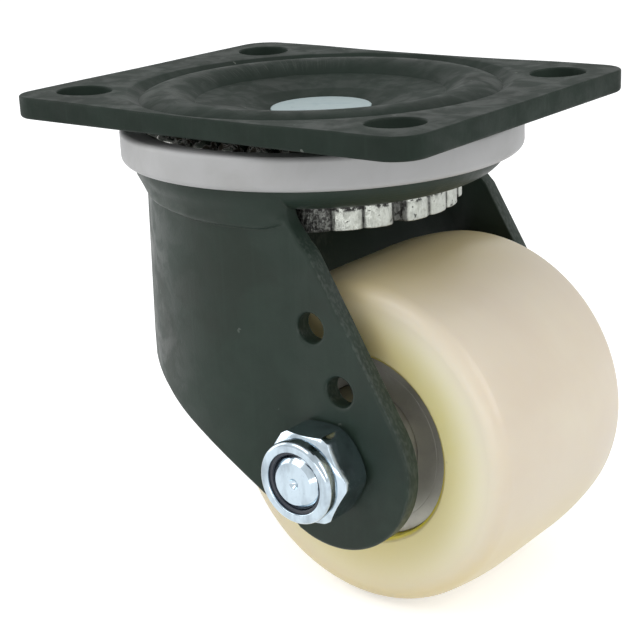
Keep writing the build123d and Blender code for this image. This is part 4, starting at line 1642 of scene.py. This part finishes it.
class CarriedNodes:
    """CAD nodes that keep their own mesh and only get a finish."""

    def build(self, finishes: Finishes) -> None:
        """Dress the nodes."""
        choice = {
            "upper_balls": finishes.balls, "lower_balls": finishes.balls,
            "axle_tube": finishes.zinc, "centre_spacer": finishes.zinc,
            "left_spacer": finishes.steel, "right_spacer": finishes.steel,
        }
        for side in Side:
            name = side.name.lower() + "_bearing_"
            choice[name + "balls"] = finishes.balls
            choice[name + "cage"] = finishes.cage
            choice[name + "inner_shield"] = finishes.steel
        for node, material in choice.items():
            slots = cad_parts[node].data.materials
            slots.clear()
            slots.append(material)
            log.info("%s keeps its mesh", node)


# Studio


@dataclass(frozen=True)
class Lamp:
    """An area lamp: where it stands and its width and height in metres, and its power in watts."""

    name: str
    place: tuple[float, float, float]
    size: Point
    power: float


@dataclass
class Studio:
    """The camera, the pale floor, the soft lights and the white surround."""

    eye: tuple[float, float, float] = (211.0815, -270.0156, 56.7226)
    right: tuple[float, float, float] = (0.79140022, 0.60986007, -0.04190926)
    up: tuple[float, float, float] = (-0.15953835, 0.27223767, 0.9489121)
    ahead: tuple[float, float, float] = (-0.59011288, 0.74428311, -0.31274502)
    lens: float = 86.54
    film_width: float = 36.0
    floor_size: float = 6.0
    floor_height: float = -0.11074
    floor_glow: float = 0.5
    ambient: float = 0.62
    aim: tuple[float, float, float] = (0.01, 0.0, -0.055)
    lamps: tuple[Lamp, ...] = (
        Lamp("key_lamp", (-0.35, -0.75, 1.05), (0.9, 0.7), 4.8),
        Lamp("side_lamp", (1.1, 0.1, 0.55), (0.7, 0.9), 5.0),
        Lamp("left_lamp", (-1.1, -0.35, 0.25), (0.5, 0.9), 3.0),
        Lamp("low_lamp", (0.3, -0.8, -0.03), (0.8, 0.12), 1.3),
    )

    def camera(self) -> None:
        """Make the camera at the photograph's viewpoint."""
        data = bpy.data.cameras.new("photo_camera")
        data.lens, data.sensor_width, data.sensor_fit = self.lens, self.film_width, "HORIZONTAL"
        data.clip_start, data.clip_end = 0.01, 50.0
        made = linked("photo_camera", data)
        turn = Matrix((self.right, self.up, tuple(-value for value in self.ahead))).transposed().to_4x4()
        made.matrix_world = Matrix.Translation(Vector(self.eye) * MM) @ turn
        bpy.context.scene.camera = made

    def surround(self) -> None:
        """Make a world that shows white and lights the castor softly."""
        world = bpy.data.worlds.new("soft_surround")
        bench = open_bench(world)
        lit = bench.node("ShaderNodeBackground", {0: (0.97, 0.985, 1.0), 1: self.ambient})
        white = bench.node("ShaderNodeBackground", {0: (1.0, 1.0, 1.0), 1: 1.0})
        mixed = bench.node("ShaderNodeMixShader", {0: bench.seen(), 1: lit.outputs[0], 2: white.outputs[0]})
        bench.node("ShaderNodeOutputWorld", {0: mixed.outputs[0]})
        bpy.context.scene.world = world

    def floor(self) -> None:
        """Make a pale floor that shows white round the castor and keeps its shadow."""
        size, height = self.floor_size, self.floor_height
        mesh = bpy.data.meshes.new("studio_floor")
        mesh.from_pydata([(-size, -size, height), (size, -size, height), (size, size, height),
                          (-size, size, height)], [], [(0, 1, 2, 3)])
        material = bpy.data.materials.new("studio_floor")
        bench = open_bench(material)
        grain = bench.effect(Effect.PATCHES, scale=3.0, low=0.2, high=0.8)
        tone = bench.blend(grain, (0.86, 0.86, 0.86), (0.88, 0.88, 0.88))
        plain = bench.node("ShaderNodeBsdfDiffuse", {0: tone}).outputs[0]
        glow = bench.node("ShaderNodeEmission", {0: (1.0, 1.0, 1.0), 1: self.floor_glow}).outputs[0]
        both = bench.node("ShaderNodeAddShader", {0: plain, 1: glow}).outputs[0]
        mixed = bench.node("ShaderNodeMixShader", {0: bench.seen(), 1: plain, 2: both})
        bench.node("ShaderNodeOutputMaterial", {0: mixed.outputs[0]})
        mesh.materials.append(material)
        made = linked("studio_floor", mesh)

    def light(self, lamp: Lamp) -> None:
        """Make a lamp that aims at the castor."""
        data = bpy.data.lights.new(lamp.name, "AREA")
        data.shape, data.energy = "RECTANGLE", lamp.power
        data.size, data.size_y = lamp.size
        made = linked(lamp.name, data)
        spot = Vector(lamp.place)
        aim = Vector(self.aim) - spot
        made.matrix_world = Matrix.Translation(spot) @ aim.to_track_quat("-Z", "Y").to_matrix().to_4x4()

    def build(self) -> None:
        """Make the studio."""
        self.camera()
        self.surround()
        self.floor()
        for lamp in self.lamps:
            self.light(lamp)
        bpy.context.scene.view_settings.view_transform = "Standard"


def main() -> None:
    """Build the castor's looks and its studio."""
    finishes = Finishes()
    assemblies = [
        MountingPlate(), RaceRing(), DustRing(), Fork(), Wheel(), Bearing(Side.LEFT), Bearing(Side.RIGHT),
        AxleFastening(), CarriedNodes(),
    ]
    for assembly in assemblies:
        assembly.build(finishes)
        log.info("built %s", type(assembly).__name__)
    Studio().build()
    bpy.context.view_layer.update()


if __name__ == "__main__":
    main()
